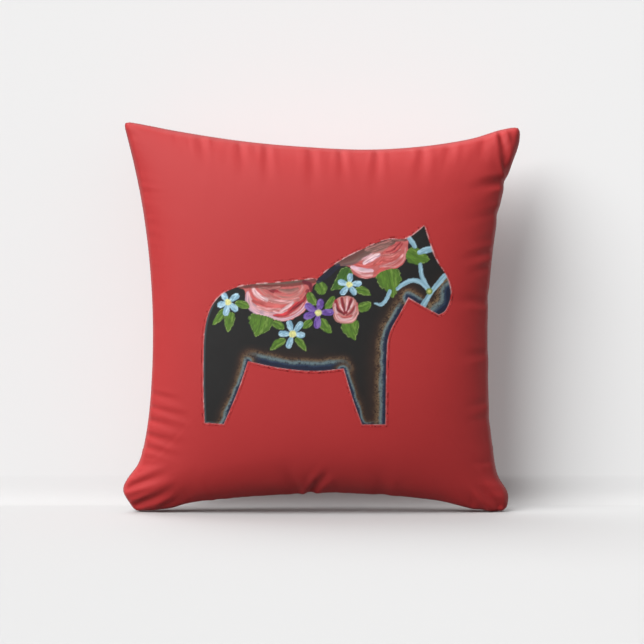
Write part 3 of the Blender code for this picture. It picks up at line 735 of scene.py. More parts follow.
def brush(canvas, points, widths, colour, strength=1.0, streak=0.35, edge=0.5, seed=0,
          second=None):
    """A brush stroke through points, with its width at even places, and streaks along it."""
    line = smooth_line(points)
    chosen = near(canvas, line, max(widths) + 2)
    x, z = canvas.x[chosen], canvas.z[chosen]
    away, share, side = line_field(x, z, line)
    half = np.interp(share, np.linspace(0, 1, len(widths)), widths) / 2
    ragged = (value_noise(x, z, 1.6, seed + 5) - 0.5) * 0.5
    amount = ease((half + ragged - away) / edge + 0.5) * strength
    streaks = value_noise(side + 40 * seed, share * 3.0, 0.75, seed) - 0.5
    shade = (1 + streak * streaks)[:, None]
    tone = np.array(colour, float) * np.ones(x.shape + (1,))
    if second is not None:
        mix = ease(side / (2 * np.maximum(half, 0.1)) + 0.5 + 1.1 * streaks)[:, None]
        tone = tone * (1 - mix) + np.array(second, float) * mix
    lay_at(canvas, chosen, np.clip(tone * shade, 0, 255), amount)


GREEN = (80, 114, 36)
DARK_GREEN = (34, 60, 20)
LIGHT_GREEN = (138, 160, 86)
LEAF_LIP = (152, 168, 104)
BLUE = (128, 168, 190)
PALE_BLUE = (164, 196, 212)
YELLOW = (214, 212, 142)
PURPLE = (92, 62, 140)
LILAC = (124, 96, 166)
PINK = (186, 94, 92)
DUSTY_PINK = (186, 124, 118)
PALE_PINK = (208, 160, 162)
LAVENDER = (196, 162, 178)
WHITE_PINK = (224, 194, 198)
SALMON = (190, 80, 76)
ROSE_RED = (152, 42, 50)
DEEP_RED = (98, 24, 34)
BROWN = (82, 52, 48)
TAUPE = (108, 82, 76)
BLACK = (11, 10, 10)


def leaf(canvas, base, tip, width, belly=0.4, bend=0.0, seed=0, tone=GREEN):
    """A leaf from base to tip: dark rim and vein, and lighter streaks along it."""
    base, tip = np.array(base, float), np.array(tip, float)
    across = np.array([-(tip - base)[1], (tip - base)[0]])
    middle = (base + tip) / 2 + bend * across
    line = smooth_line([base, middle, tip], 10)
    chosen = near(canvas, line, width)
    x, z = canvas.x[chosen], canvas.z[chosen]
    away, share, side = line_field(x, z, line)
    rise, fall = 1.2 * belly, 1.35 * (1 - belly)
    top = (belly ** rise) * ((1 - belly) ** fall)
    half = width / 2 * (np.clip(share, 0, 1) ** rise) * (np.clip(1 - share, 0, 1) ** fall) / top
    half = half + (value_noise(x, z, 2.2, seed + 3) - 0.5) * 0.12 * width
    amount = ease((half - away) / 0.9 + 0.5) * ease((half + 0.4) / 0.8)
    streaks = value_noise(side * 1.1 + 31 * seed, share * 6, 0.8, seed)
    light = np.array(tone, float)[None] * (0.86 + 0.3 * streaks[:, None])
    rim = ease(away / np.maximum(half, 0.3) * 1.6 - 0.75)[:, None]
    vein = (bump(away / 0.7) * 0.55 * ease(1.4 - share * 1.3))[:, None]
    glint = bump((side - 0.45 * half) / np.maximum(0.3 * half, 0.3)) * ease(streaks * 1.6 - 0.3)
    glint = glint[:, None]
    colour = light * (1 - 0.35 * rim) + np.array(DARK_GREEN, float) * 0.35 * rim
    lip = bump((half - 0.55 - away) / 0.6) * ease(2.6 * value_noise(x, z, 3.0, seed + 9) - 0.7)
    lip = 0.75 * lip[:, None]
    colour = colour * (1 - lip) + np.array(LEAF_LIP, float) * lip
    colour = colour * (1 - vein) + np.array(DARK_GREEN, float) * vein
    colour = colour * (1 - 0.5 * glint) + np.array(LIGHT_GREEN, float) * 0.5 * glint
    lay_at(canvas, chosen, colour, amount)


def petal(canvas, centre, tip, width, colour, light, seed):
    """A rounded petal, widening towards its tip and paler along one side."""
    centre, tip = np.array(centre, float), np.array(tip, float)
    start = centre + (tip - centre) * 0.12
    brush(canvas, [start, (start + tip) / 2, tip - (tip - start) * 0.18],
          [width * 0.45, width * 0.8, width * 1.05, width], colour, 1.0, 0.22, 0.6, seed, light)


def flower(canvas, centre, tips, width, colour, light, heart, seed):
    """A simple flower: one petal for each tip, and a yellow heart."""
    for number, tip in enumerate(tips):
        petal(canvas, centre, tip, width, colour, light, seed + number)
    chosen = near(canvas, [centre], heart + 2)
    x, z = canvas.x[chosen], canvas.z[chosen]
    away = np.hypot(x - centre[0], z - centre[1])
    ragged = (value_noise(x, z, 1.3, seed + 20) - 0.5) * 1.0
    shade = 0.88 + 0.24 * value_noise(x, z, 1.0, seed + 21)
    lay_at(canvas, chosen, np.array(YELLOW, float)[None] * shade[:, None],
           ease((heart + ragged - away) / 0.8 + 0.5))


def patch_of(canvas, outline, colour, seed, edge=0.8, strength=1.0):
    """Fill a rounded outline with a mottled colour."""
    line = smooth_line(outline, 6, closed=True)
    chosen = near(canvas, line, 3)
    x, z = canvas.x[chosen], canvas.z[chosen]
    depth = -signed_distance(x, z, line) + (value_noise(x, z, 2.5, seed) - 0.5) * 1.2
    shade = 0.93 + 0.14 * value_noise(x, z, 3.0, seed + 1)
    lay_at(canvas, chosen, np.array(colour, float)[None] * shade[:, None],
           strength * ease(depth / edge + 0.5))


HORSE_OUTLINE = [
    (101, 286, True), (106, 270, False), (112, 254, False), (123, 236, False), (127, 219, False),
    (122, 204, False), (115, 199, True), (95, 210, False), (85, 216, True), (77, 201, False),
    (67, 182, False), (64, 160, False), (63, 92, True), (40, 92, True), (31, 117, False),
    (22, 147, True), (-7, 144.5, False), (-40, 147.5, False), (-71, 154, True), (-81, 125, False),
    (-95, 92, True), (-114, 93, True), (-115, 135, False), (-113, 187, False), (-102, 214, False),
    (-79, 227, False), (-40, 231, False), (-3, 235, True), (14, 249, False), (36, 261, False),
    (62, 272, False), (84, 274, False),
]


def horse_line():
    """The horse's closed outline: smooth between its corner points."""
    corners = [k for k, point in enumerate(HORSE_OUTLINE) if point[2]]
    made = []
    for first, last in zip(corners, corners[1:] + [corners[0] + len(HORSE_OUTLINE)]):
        run = [HORSE_OUTLINE[k % len(HORSE_OUTLINE)][:2] for k in range(first, last + 1)]
        made.append(smooth_line(run, 7)[:-1])
    return np.concatenate(made)


# The glowing bands inside the belly, legs, chest and jaw: the horse's edge there, how wide the
# navy, pale and brown bands are in millimetres, and how strong the brown is.
EDGE_BANDS = [
    ([(-68, 154), (-40, 148), (-7, 145), (20, 147.5)], (4.6, 4.4, 5.5), 0.65),
    ([(-71, 154), (-81, 125), (-95, 92)], (1.5, 3.0, 6.0), 0.65),
    ([(21, 146), (31, 117), (40, 92), (52, 90.5), (63, 92)], (2.6, 2.2, 4.5), 0.45),
    ([(63, 92), (64, 160), (67, 182), (77, 201), (85, 214)], (3.2, 3.4, 10.0), 0.8),
    ([(85, 216), (95, 210), (108, 202)], (3.4, 2.6, 6.0), 0.8),
    ([(127, 222), (125, 208), (115, 199)], (6.0, 5.0, 9.0), 1.0),
]
NAVY = (12, 22, 48)
PALE = (104, 130, 138)
TAN = (126, 102, 74)
EARTH = (50, 29, 20)
RUMP_GLOW = (62, 84, 90)
BAND_BLUE = (30, 56, 92)
PAPER = (222, 204, 204)
TORN_PINK = (196, 122, 122)
MANE_BLUE = (18, 20, 48)
STRAP = (126, 164, 182)
STRAP_LIGHT = (150, 186, 202)
BUTTON_PLACE = (105.6, 222)
BUTTON = [(3.2, (120, 140, 74)), (1.6, (190, 190, 110))]    # radius and colour, from the rim in


def paint_body(canvas, distance):
    """The black body, its brown shade, and the glowing bands along its edges."""
    x, z = canvas.x, canvas.z
    mottled = value_noise(x, z, 6.0, 11)[..., None]
    canvas.lay(np.array(BLACK, float) * (0.85 + 0.3 * mottled), ease(0.5 - distance / 0.9))
    within = ease(0.3 - distance / 1.0)
    canvas.lay(EARTH, within * 0.4 * bump((x - 50) / 20) * ease((200 - z) / 60))
    canvas.lay(EARTH, within * 0.35 * bump((z - 162) / 12) * bump((x + 25) / 55))
    canvas.lay(RUMP_GLOW, within * 0.8 * bump((distance + 1.0) / 1.5) * ease((-60 - x) / 20)
               * ease((215 - z) / 10))
    speckle = 0.6 * value_noise(x, z, 0.8, 21) + 0.4 * value_noise(x, z, 1.7, 22)
    for number, (points, (navy, pale, brown), strength) in enumerate(EDGE_BANDS):
        away, _, _ = line_field(x, z, smooth_line(points, 6))
        away = away + (value_noise(x, z, 7.0, 30 + number) - 0.5) * 1.8
        away = away + (speckle - 0.5) * 1.6
        tan_place = (away - navy - pale * 1.15) / brown
        canvas.lay(EARTH, 0.75 * bump((away - navy - pale) / (brown * 1.7)) * within)
        canvas.lay(TAN, strength * bump(tan_place * 1.35) * within * ease(speckle * 3.2 - 0.9))
        canvas.lay(PALE, 0.85 * bump((away - navy - pale * 0.5) / (pale * 0.85)) * within
                   * ease(speckle * 1.6 + 0.2))
        canvas.lay(BAND_BLUE, 0.7 * bump((away - navy * 0.85) / (navy * 0.5)) * within)
        canvas.lay(NAVY, 0.9 * ease((navy * 0.75 - away) / 1.8 + 0.5) * within)


def paint_rim(canvas, distance):
    """The pale, torn edge of paper round the horse."""
    x, z = canvas.x, canvas.z
    torn = value_noise(x, z, 6.0, 51) + 0.5 * value_noise(x, z, 1.1, 52) - 0.70
    upper = ease((z - 195) / 40) * 0.85 + 0.15
    width = np.clip(0.16 + 1.4 * torn * upper, 0.0, 0.9)
    amount = bump((distance - 0.15) / (width + 0.45)) * ease(width / 0.35)
    tint = value_noise(x, z, 2.0, 53)[..., None]
    canvas.lay(np.array(PAPER) * (1 - tint) + np.array(TORN_PINK) * tint, 0.8 * amount)


LEAVES = [
    # base, tip, width, where it is widest, bend
    ((-94, 205), (-106, 189), 7.5, 0.40, 0.05), ((-87, 202), (-90.5, 182), 10.5, 0.38, -0.04),
    ((-84, 210.5), (-69.5, 206.5), 8, 0.50, 0.06), ((-57, 199), (-64, 177), 25, 0.22, 0.04),
    ((-47.5, 192), (-35.5, 185.5), 8.5, 0.45, 0.05),
    ((-34.5, 175.5), (-49.5, 164.5), 8, 0.42, -0.06),
    ((-24.5, 177), (-14, 163.5), 7, 0.36, 0.05), ((-9, 194.5), (-17.5, 186), 7.5, 0.50, 0.0),
    ((0, 195.5), (10.5, 182), 9.5, 0.40, -0.08), ((-4, 231.5), (2.5, 219), 11.5, 0.55, 0.05),
    ((-12, 221.5), (-5, 208.5), 8.5, 0.50, -0.05), ((13, 217.5), (4, 205), 7.5, 0.52, 0.05),
    ((27, 245), (9, 223), 13.5, 0.35, 0.10), ((33, 224), (48.5, 218.3), 8, 0.42, 0.08),
    ((35, 205.5), (48.5, 211.5), 10, 0.48, -0.10), ((27.5, 193.5), (33.5, 174.5), 18, 0.25, -0.04),
    ((64, 243), (70, 215), 24, 0.25, 0.03), ((84, 261), (106, 253), 17, 0.36, -0.08),
]

SHADED_LEAF = 12
SHADED_GREEN = (56, 92, 32)

FLOWERS = [
    # centre, petal tips, petal width, colours, size of the heart
    ((-90.5, 211.7), [(-95.5, 219.5), (-80.8, 218.5), (-82, 203.8), (-92.8, 199), (-99.5, 208.5)],
     6.0, BLUE, PALE_BLUE, 3.1),
    ((-27.5, 180.6), [(-31.5, 193), (-18.5, 192), (-16.5, 179.5), (-32, 167.5), (-40.5, 181)],
     5.8, BLUE, PALE_BLUE, 3.5),
    ((27.7, 228.8), [(17.5, 231.5), (28.5, 238.5), (38.5, 230), (33, 219.5), (20, 219.5)],
     5.6, BLUE, PALE_BLUE, 3.0),
    ((-2.5, 201.4), [(-14.5, 209), (0, 213.5), (11.5, 202), (-4, 187), (-16, 197.5)],
     6.6, PURPLE, LILAC, 3.3),
]

BRIDLE = [
    # points and widths of each pale blue strap
    ([(85, 275), (88, 271), (91.5, 265.5)], [4.5, 5.0, 4.0]),
    ([(96, 260), (102, 262), (108.5, 263.5)], [4.5, 6.5, 6.0]),
    ([(96.8, 248), (98, 238), (101, 231), (105, 224)], [4.0, 4.5, 4.5, 3.5]),
    ([(121, 237), (113.5, 228.5), (107, 220.5), (100, 209)], [5.5, 5.0, 4.5, 6.0]),
    ([(104, 224), (97, 231), (88, 232.5), (80, 229), (74.5, 224.5)], [3.5, 4.5, 4.5, 4.5, 3.5]),
    ([(67, 222), (63.5, 214.5), (59, 209.5), (52.5, 210.5)], [4.0, 4.0, 3.5, 2.0]),
]

RUMP_ROSE = [(-80, 227.5), (-74, 222.5), (-73, 213), (-68, 204.5), (-58, 198.5), (-50, 197),
             (-44, 193.8),
             (-36, 193), (-27, 195.5), (-18, 201), (-12, 209), (-10.5, 218), (-8, 226),
             (-3, 234.5),
             (-20, 234), (-45, 232.5), (-65, 230.5)]
RUMP_STROKES = [
    # points, widths, colour, second colour, strength
    ([(-70.5, 220), (-69.5, 210), (-62, 203.5), (-53, 200)],
     [5, 8, 8, 5], LAVENDER, PALE_PINK, 0.95),
    ([(-58, 202), (-48, 199.5), (-38, 201)], [4, 6, 4], LAVENDER, PALE_PINK, 0.85),
    ([(-66, 213), (-55.5, 208.5), (-44, 208), (-35, 209.5)], [3, 6, 6, 3], SALMON, PINK, 0.9),
    ([(-62, 207.5), (-52, 204.5), (-40, 205)], [2, 3.6, 2], DUSTY_PINK, PALE_PINK, 0.8),
    ([(-56, 216), (-44, 212.5), (-32, 212), (-22, 215)],
     [3, 4.5, 4.5, 3], DUSTY_PINK, PALE_PINK, 0.85),
    ([(-66.6, 226), (-62.4, 219), (-52.8, 213.4)], [3.5, 5, 3.5], PALE_PINK, WHITE_PINK, 0.95),
    ([(-70, 224), (-66, 216), (-60, 211.5)], [2, 3, 2], PINK, SALMON, 0.8),
    ([(-61, 227), (-54.5, 221), (-46, 216)], [2.5, 4, 2.5], DUSTY_PINK, PINK, 0.8),
    ([(-56, 228), (-47, 223.5), (-39, 220)], [3, 5, 2.5], DEEP_RED, ROSE_RED, 0.85),
    ([(-44.5, 219.5), (-33.4, 217.3), (-23, 220), (-18, 226)],
     [3.5, 6.5, 6.5, 4], DUSTY_PINK, PINK, 0.95),
    ([(-40, 223.5), (-31, 222), (-23, 224.5)], [2.5, 5, 3], DUSTY_PINK, TAUPE, 0.85),
    ([(-22, 221), (-18.8, 225), (-18.5, 229.5)], [1.2, 1.8, 1.2], PALE_PINK, DUSTY_PINK, 0.7),
    ([(-45.5, 198.6), (-34, 200.5), (-25.1, 207.5), (-15.5, 217.5)], [2.6, 4.2, 5, 4], ROSE_RED,
     (188, 54, 60), 0.95),
    ([(-26.5, 205.8), (-17, 214), (-13, 223)], [2.5, 4, 3], DEEP_RED, ROSE_RED, 0.85),
    ([(-39, 203), (-32, 207.6), (-27, 211.4)], [2.2, 3.4, 2.4], WHITE_PINK, PALE_PINK, 1.0),
    ([(-46, 202.8), (-40, 201.2), (-33, 203.6)], [1.2, 1.8, 1.2], WHITE_PINK, PALE_PINK, 0.8),
    ([(-26, 212.6), (-20, 214.5), (-15.5, 220.5)], [1.5, 2.8, 2], DUSTY_PINK, PINK, 0.85),
    ([(-50, 197.6), (-39, 194.8), (-28, 197.2), (-18.4, 203.5), (-12.9, 212), (-11.3, 220)],
     [2.5, 3.4, 3, 3, 3, 2], PALE_PINK, LAVENDER, 0.95),
    ([(-30, 199.6), (-22.5, 204), (-17.4, 210.4)], [1.2, 1.8, 1.2], WHITE_PINK, PALE_PINK, 0.7),
    ([(-79, 226), (-60, 228), (-39, 229.4), (-7, 232.4)],
     [3, 6, 6.5, 5], (104, 46, 42), BROWN, 0.8),
    ([(-70, 228.5), (-50, 230.4), (-34, 231), (-14, 233)],
     [1.5, 3.2, 3.6, 2], TAUPE, (86, 74, 58), 0.9),
    ([(-60, 226), (-50, 225), (-40, 226)], [1.5, 3, 2], TAUPE, DUSTY_PINK, 0.7),
    ([(-17, 231.5), (-11, 229), (-9.5, 223)], [3, 4.5, 2.5], DEEP_RED, (92, 22, 40), 0.95),
    ([(-74, 226), (-68, 228), (-62, 228.5)], [2, 3, 2], (110, 48, 48), BROWN, 0.8),
]

NECK_ROSE = [(16, 248.5), (24, 247), (28.5, 245), (29.5, 240.5), (35, 237), (42, 235.2),
             (51, 235.8),
             (60, 241), (70, 243.5), (78, 247.5), (83, 255), (83.5, 273.5), (62, 271),
             (46, 265), (30, 257)]
NECK_STROKES = [
    ([(30.5, 243), (36, 238.6), (44, 236.8), (53, 238)], [3, 5, 5, 4], PINK, PALE_PINK, 0.9),
    ([(52, 238), (60, 243), (70, 245.5), (78, 250)], [3.5, 5, 5, 4], PINK, SALMON, 0.85),
    ([(30, 246), (39, 243), (50, 242)], [3, 5, 3], WHITE_PINK, LAVENDER, 0.95),
    ([(31.5, 249.5), (44, 247.6), (57, 250)], [3.5, 5.5, 3.5], SALMON, PINK, 0.9),
    ([(42, 249.6), (48.5, 254), (56, 257.6)], [3.5, 6.4, 4], LAVENDER, WHITE_PINK, 0.95),
    ([(36, 252.5), (42.5, 254.5), (50, 259)], [2, 4, 3], PALE_PINK, LAVENDER, 0.8),
    ([(52, 248), (58.7, 252.5), (60.5, 258)], [3, 5, 3], SALMON, PINK, 0.85),
    ([(58, 246), (66, 247.5), (74, 251), (80, 257)], [2, 4, 4.5, 3], PINK, PALE_PINK, 0.85),
    ([(61, 251.5), (68, 252.5), (76, 257)], [3, 4.5, 3], SALMON, PINK, 0.8),
    ([(60, 256.5), (68, 257), (77, 262)], [3, 4.5, 3], PINK, DUSTY_PINK, 0.85),
    ([(62, 261), (70, 263), (78, 268)], [3, 5, 4], SALMON, PINK, 0.8),
    ([(60.3, 247.2), (71.6, 246.6), (80, 253), (82, 264)],
     [1.2, 2.2, 2.4, 1.6], PALE_PINK, PINK, 0.85),
    ([(63.5, 260.3), (70, 262.2), (77.2, 269.6)], [1.0, 1.7, 1.2], DEEP_RED, ROSE_RED, 0.85),
    ([(67.5, 258.4), (74.8, 262.4), (79, 268.3)], [0.8, 1.4, 1.0], DEEP_RED, ROSE_RED, 0.8),
    ([(66, 266), (72.5, 268), (77, 271)], [1.0, 1.6, 1.0], ROSE_RED, SALMON, 0.7),
    ([(16, 249), (26, 251.5), (36, 256.5), (47, 262)], [5, 7, 8, 7], TAUPE, BROWN, 0.92),
    ([(22, 248), (31, 250), (38, 253.5)], [3, 4.5, 3], (112, 84, 86), TAUPE, 0.85),
    ([(45, 262), (57, 265.5), (70, 270)], [6, 7.5, 5], TAUPE, (150, 104, 98), 0.9),
    ([(50, 259.5), (58, 261.5), (64, 264.5)], [2, 3.4, 2], DUSTY_PINK, TAUPE, 0.8),
    ([(70, 271.5), (77, 272), (83, 272)], [3, 3, 2], BROWN, TAUPE, 0.8),
]

BUD = [(12, 212), (11.6, 203), (12.9, 194.8), (20, 191.2), (29.5, 192), (36, 199),
       (35.4, 208.5), (32.2, 215.6),
       (26.4, 217.4), (18.4, 216.6)]
BUD_STROKES = [
    ([(13.2, 206), (15.6, 196), (22, 193.2), (30.5, 194.4), (34.8, 201)],
     [4, 5, 4.4, 5, 4], DUSTY_PINK,
     PALE_PINK, 0.95),
    ([(34.4, 210), (32.4, 203), (28, 197.6)], [3.4, 4, 3], DUSTY_PINK, PINK, 0.85),
    ([(14.4, 213), (16.4, 205), (22.4, 200.4)], [3, 3.6, 2.4], DEEP_RED, ROSE_RED, 0.95),
    ([(20.2, 215.4), (21.6, 207.6), (23.4, 201)], [2.6, 3.2, 2], ROSE_RED, DEEP_RED, 0.95),
    ([(29.6, 214.4), (26.8, 207.6), (24.6, 201)], [2.6, 3.4, 2], ROSE_RED, DEEP_RED, 0.95),
    ([(33.4, 208.6), (29.6, 202.6), (25, 198.8)], [1.6, 2.4, 1.4], ROSE_RED, DEEP_RED, 0.8),
    ([(17.6, 214.6), (19, 208), (21.8, 202.4)], [1.2, 1.7, 1.0], PALE_PINK, WHITE_PINK, 0.95),
    ([(25.6, 216.4), (25.4, 210), (24.2, 203.4)], [1.4, 2.0, 1.2], WHITE_PINK, PALE_PINK, 0.95),
    ([(31.6, 213), (29.4, 207.6), (26.4, 202.6)], [1.2, 1.8, 1.0], PALE_PINK, WHITE_PINK, 0.9),
    ([(13.8, 210), (14.8, 203), (18.8, 198.6)], [1.2, 1.8, 1.2], WHITE_PINK, PALE_PINK, 0.9),
    ([(16.6, 200.2), (22.4, 197.2), (29.4, 198.8)], [1.2, 2.0, 1.4], ROSE_RED, PINK, 0.7),
    ([(16.4, 197.6), (22.6, 194.8), (29.8, 196.4)], [1.0, 1.6, 1.0], WHITE_PINK, PALE_PINK, 0.85),
    ([(31.4, 199.6), (33.6, 204.4), (33.4, 209)], [0.9, 1.4, 0.9], PALE_PINK, WHITE_PINK, 0.8),
]


def paint_rose(canvas, outline, ground, strokes, seed):
    """A rose: its ground, brush strokes over it, and fine bristle marks."""
    patch_of(canvas, outline, ground, seed)
    for number, (points, widths, colour, second, strength) in enumerate(strokes):
        brush(canvas, points, widths, colour, strength, 0.4, 1.1, seed + 3 * number, second)


def paint_horse(x, z):
    """Paint the whole horse at points (x, z), and return the ink at each point."""
    canvas = Canvas(x, z)
    distance = signed_distance(x, z, horse_line())
    paint_body(canvas, distance)
    paint_rose(canvas, RUMP_ROSE, PINK, RUMP_STROKES, 100)
    paint_rose(canvas, NECK_ROSE, PINK, NECK_STROKES, 200)
    for number, (base, tip, width, belly, bend) in enumerate(LEAVES):
        tone = SHADED_GREEN if number == SHADED_LEAF else GREEN
        leaf(canvas, base, tip, width, belly, bend, 300 + number, tone)
    brush(canvas, [(-3, 231.5), (8, 240), (17, 247)], [4, 6, 4], MANE_BLUE, 0.7)
    paint_rose(canvas, BUD, DUSTY_PINK, BUD_STROKES, 400)
    for number, (centre, tips, width, colour, light, heart) in enumerate(FLOWERS):
        flower(canvas, centre, tips, width, colour, light, heart, 500 + 30 * number)
    for number, (points, widths) in enumerate(BRIDLE):
        brush(canvas, points, widths, STRAP, 1.0, 0.12, 0.7, 700 + number, STRAP_LIGHT)
    button = near(canvas, [BUTTON_PLACE], 6)
    away = np.hypot(canvas.x[button] - BUTTON_PLACE[0], canvas.z[button] - BUTTON_PLACE[1])
    for radius, colour in BUTTON:
        lay_at(canvas, button, colour, ease((radius - away) / 0.8 + 0.5))
    canvas.ink = canvas.ink * ease(0.5 - distance / 0.9)
    paint_rim(canvas, distance)
    linear = np.where(canvas.colour <= 0.04045, canvas.colour / 12.92,
                      ((np.clip(canvas.colour, 0, 1) + 0.055) / 1.055) ** 2.4)
    return np.concatenate([linear, canvas.ink[..., None]], -1)


PRINT_CELL = 0.0008
PRINT_MARGIN = 2.2              # cloth left round the horse in its layer, in millimetres
PRINT_LIFT = 0.00018
PRINT_EDGE = 0.9                # points this near the margin, in cells, are drawn onto it
PRINT_FILM = 0.6                # the layer's thickness, as a share of its lift
PRINT_BOX = ((-122, 134), (84, 294))    # the horse lies within these (x, z) ranges


def make_print(fine, material):
    """The printed layer: fine cells over the front, kept round the horse, and painted."""
    count = fine.shape[0]
    plan = fine[..., [0, 2]] / MM
    wanted = np.ones(plan.shape[:2], bool)
    for axis, (least, most) in enumerate(PRINT_BOX):
        wanted &= (plan[..., axis] > least) & (plan[..., axis] < most)
    rows, columns = np.flatnonzero(wanted.any(1)), np.flatnonzero(wanted.any(0))
    low_u, high_u = columns[0] / (count - 1), columns[-1] / (count - 1)
    low_v, high_v = rows[0] / (count - 1), rows[-1] / (count - 1)
    across = int((high_u - low_u) * FLAT_SIDE / PRINT_CELL)
    upward = int((high_v - low_v) * FLAT_SIDE / PRINT_CELL)
    u, v = np.meshgrid(np.linspace(low_u, high_u, across), np.linspace(low_v, high_v, upward))
    points = sample(fine, u, v)
    distance = signed_distance(points[..., 0] / MM, points[..., 2] / MM, horse_line())
    slope_v, slope_u = np.gradient(distance)
    steep = np.maximum(slope_u ** 2 + slope_v ** 2, 1e-6)
    excess = distance - PRINT_MARGIN
    step_u, step_v = u[0, 1] - u[0, 0], v[1, 0] - v[0, 0]
    edge = np.abs(excess) < PRINT_CELL / MM * PRINT_EDGE
    u = np.where(edge, u - excess * slope_u / steep * step_u, u)
    v = np.where(edge, v - excess * slope_v / steep * step_v, v)
    keep = (distance < PRINT_MARGIN) | edge
    cell = keep[:-1, :-1] & keep[:-1, 1:] & keep[1:, 1:] & keep[1:, :-1]
    faces = grid_faces(upward, across)[cell.ravel()]
    used = np.unique(faces)
    number = np.full(u.size, -1)
    number[used] = np.arange(len(used))
    u, v = u.ravel()[used], v.ravel()[used]
    outward = sample(normals_of(fine), u, v)
    outward /= np.linalg.norm(outward, axis=-1, keepdims=True)
    points = sample(fine, u, v)
    ink = paint_horse(points[:, 0] / MM, points[:, 2] / MM)
    piece = make_mesh("horse_print", points + outward * PRINT_LIFT, number[faces])
    add_flat(piece, u, v)
    add_colours(piece, "ink", ink)
    thicken(piece, PRINT_LIFT * PRINT_FILM)
    piece.data.materials.append(material)
    declare(piece, "dala_horse_print")
    return piece


# ------------------------------------------------------------------ threads, coils and stitches

def tube(lines, radii, sides):
    """Vertices and faces of round tubes along polylines, with closed ends."""
    points, faces = [], []
    for line, radius in zip(lines, radii):
        line = np.asarray(line)
        radius = np.broadcast_to(radius, len(line))
        forward = np.gradient(line, axis=0)
        forward /= np.linalg.norm(forward, axis=1, keepdims=True)
        guide = np.array([0.0, 0.3, 1.0])
        first = np.cross(forward, guide)
        first /= np.linalg.norm(first, axis=1, keepdims=True)
        second = np.cross(forward, first)
        turn = np.linspace(0, 2 * math.pi, sides, endpoint=False)
        ring = (np.cos(turn)[None, :, None] * first[:, None]
                + np.sin(turn)[None, :, None] * second[:, None])
        start = len(points)
        points.extend((line[:, None] + radius[:, None, None] * ring).reshape(-1, 3).tolist())
        for k in range(len(line) - 1):
            for s in range(sides):
                t = (s + 1) % sides
                a, b = start + k * sides, start + (k + 1) * sides
                faces.append((a + s, a + t, b + t, b + s))
        faces.append(tuple(start + s for s in reversed(range(sides))))
        last = start + (len(line) - 1) * sides
        faces.append(tuple(last + s for s in range(sides)))
    return points, faces


def tube_piece(name, lines, radii, sides, material, node):
    """Threads or wires as one piece that rides on the cushion."""
    piece = link_mesh(name, *tube(lines, radii, sides))
    piece.data.materials.append(material)
    declare(piece, node)


COIL_PITCH = 0.0016
COIL_ACROSS = 0.0022
COIL_OUT = 0.00055
COIL_HALF_WIDTH = 0.0012
COIL_HALF_HEIGHT = 0.00105
COIL_WIRE = 0.00030
COIL_TURN_STEPS = 12
COIL_USED = 0.985               # share of the tape's length that the coil fills
COIL_FLATNESS = 0.7


def make_coil(name, side, node, material):
    """A nylon coil: one wire wound in flat turns along the zip."""
    turns = int(2 * COIL_HALF_LENGTH / COIL_PITCH)
    angle = np.linspace(0, 2 * math.pi * turns, turns * COIL_TURN_STEPS + 1)
    run = -COIL_HALF_LENGTH + 2 * COIL_HALF_LENGTH * angle / angle[-1]
    run = run * COIL_USED
    swing = np.sign(np.cos(angle)) * np.abs(np.cos(angle)) ** COIL_FLATNESS
    up = side * (COIL_ACROSS + COIL_HALF_WIDTH * swing)
    out = COIL_OUT + COIL_HALF_HEIGHT * np.sin(angle)
    line = zip_point(run, up, out)
    tube_piece(name, [line], [COIL_WIRE], 6, material, node)


STITCH_PITCH = 0.0034
STITCH_LENGTH = 0.0029
STITCH_RADIUS = 0.00022
STITCHED_TO = 0.1262            # half the length of the stitching along the zip
# A stitch of the zip: places along it, height of the thread there in millimetres, and thickness.
STITCH_SHARES = np.array([-0.5, -0.42, -0.2, 0.2, 0.42, 0.5])
STITCH_HEIGHTS = np.array([-0.55, -0.12, 0.12, 0.12, -0.12, -0.55])
STITCH_THICKNESS = np.array([0.8, 1, 1, 1, 1, 0.8])


def make_stitches(name, side, node, material):
    """A line of lockstitch through the folded edge: each stitch dips in at both ends."""
    lines = []
    for middle in np.linspace(-STITCHED_TO, STITCHED_TO, int(2 * STITCHED_TO / STITCH_PITCH)):
        run = middle + STITCH_SHARES * STITCH_LENGTH
        up = side * (zip_gap(run) + STITCH_FROM_FOLD)
        lines.append(zip_point(run, up, STITCH_HEIGHTS * MM))
    radii = [STITCH_RADIUS * STITCH_THICKNESS] * len(lines)
    tube_piece(name, lines, radii, 6, material, node)


TACK_STITCHES = 26
TACK_HEIGHT = 0.0118
TACK_HALF_LENGTH = 0.0010
TACK_FROM_OPENING = 0.0050
TACK_LEAN = 0.0003
TACK_OUT = 0.0004
TACK_RADIUS = 0.00026


def make_tack(name, side, node, material):
    """A bar tack: close stitches back and forth across the end of the opening."""
    middle = side * (ZIP_OPEN_TO + TACK_FROM_OPENING)
    share = np.linspace(-1, 1, 5)
    lines = []
    for number in range(TACK_STITCHES):
        up = (number / (TACK_STITCHES - 1) - 0.5) * TACK_HEIGHT
        lean = TACK_LEAN * (-1) ** number
        out = TACK_OUT + TACK_OUT * (1 - share ** 2)
        lines.append(zip_point(middle + share * TACK_HALF_LENGTH, up + lean * share, out))
    tube_piece(name, lines, [TACK_RADIUS] * TACK_STITCHES, 6, material, node)


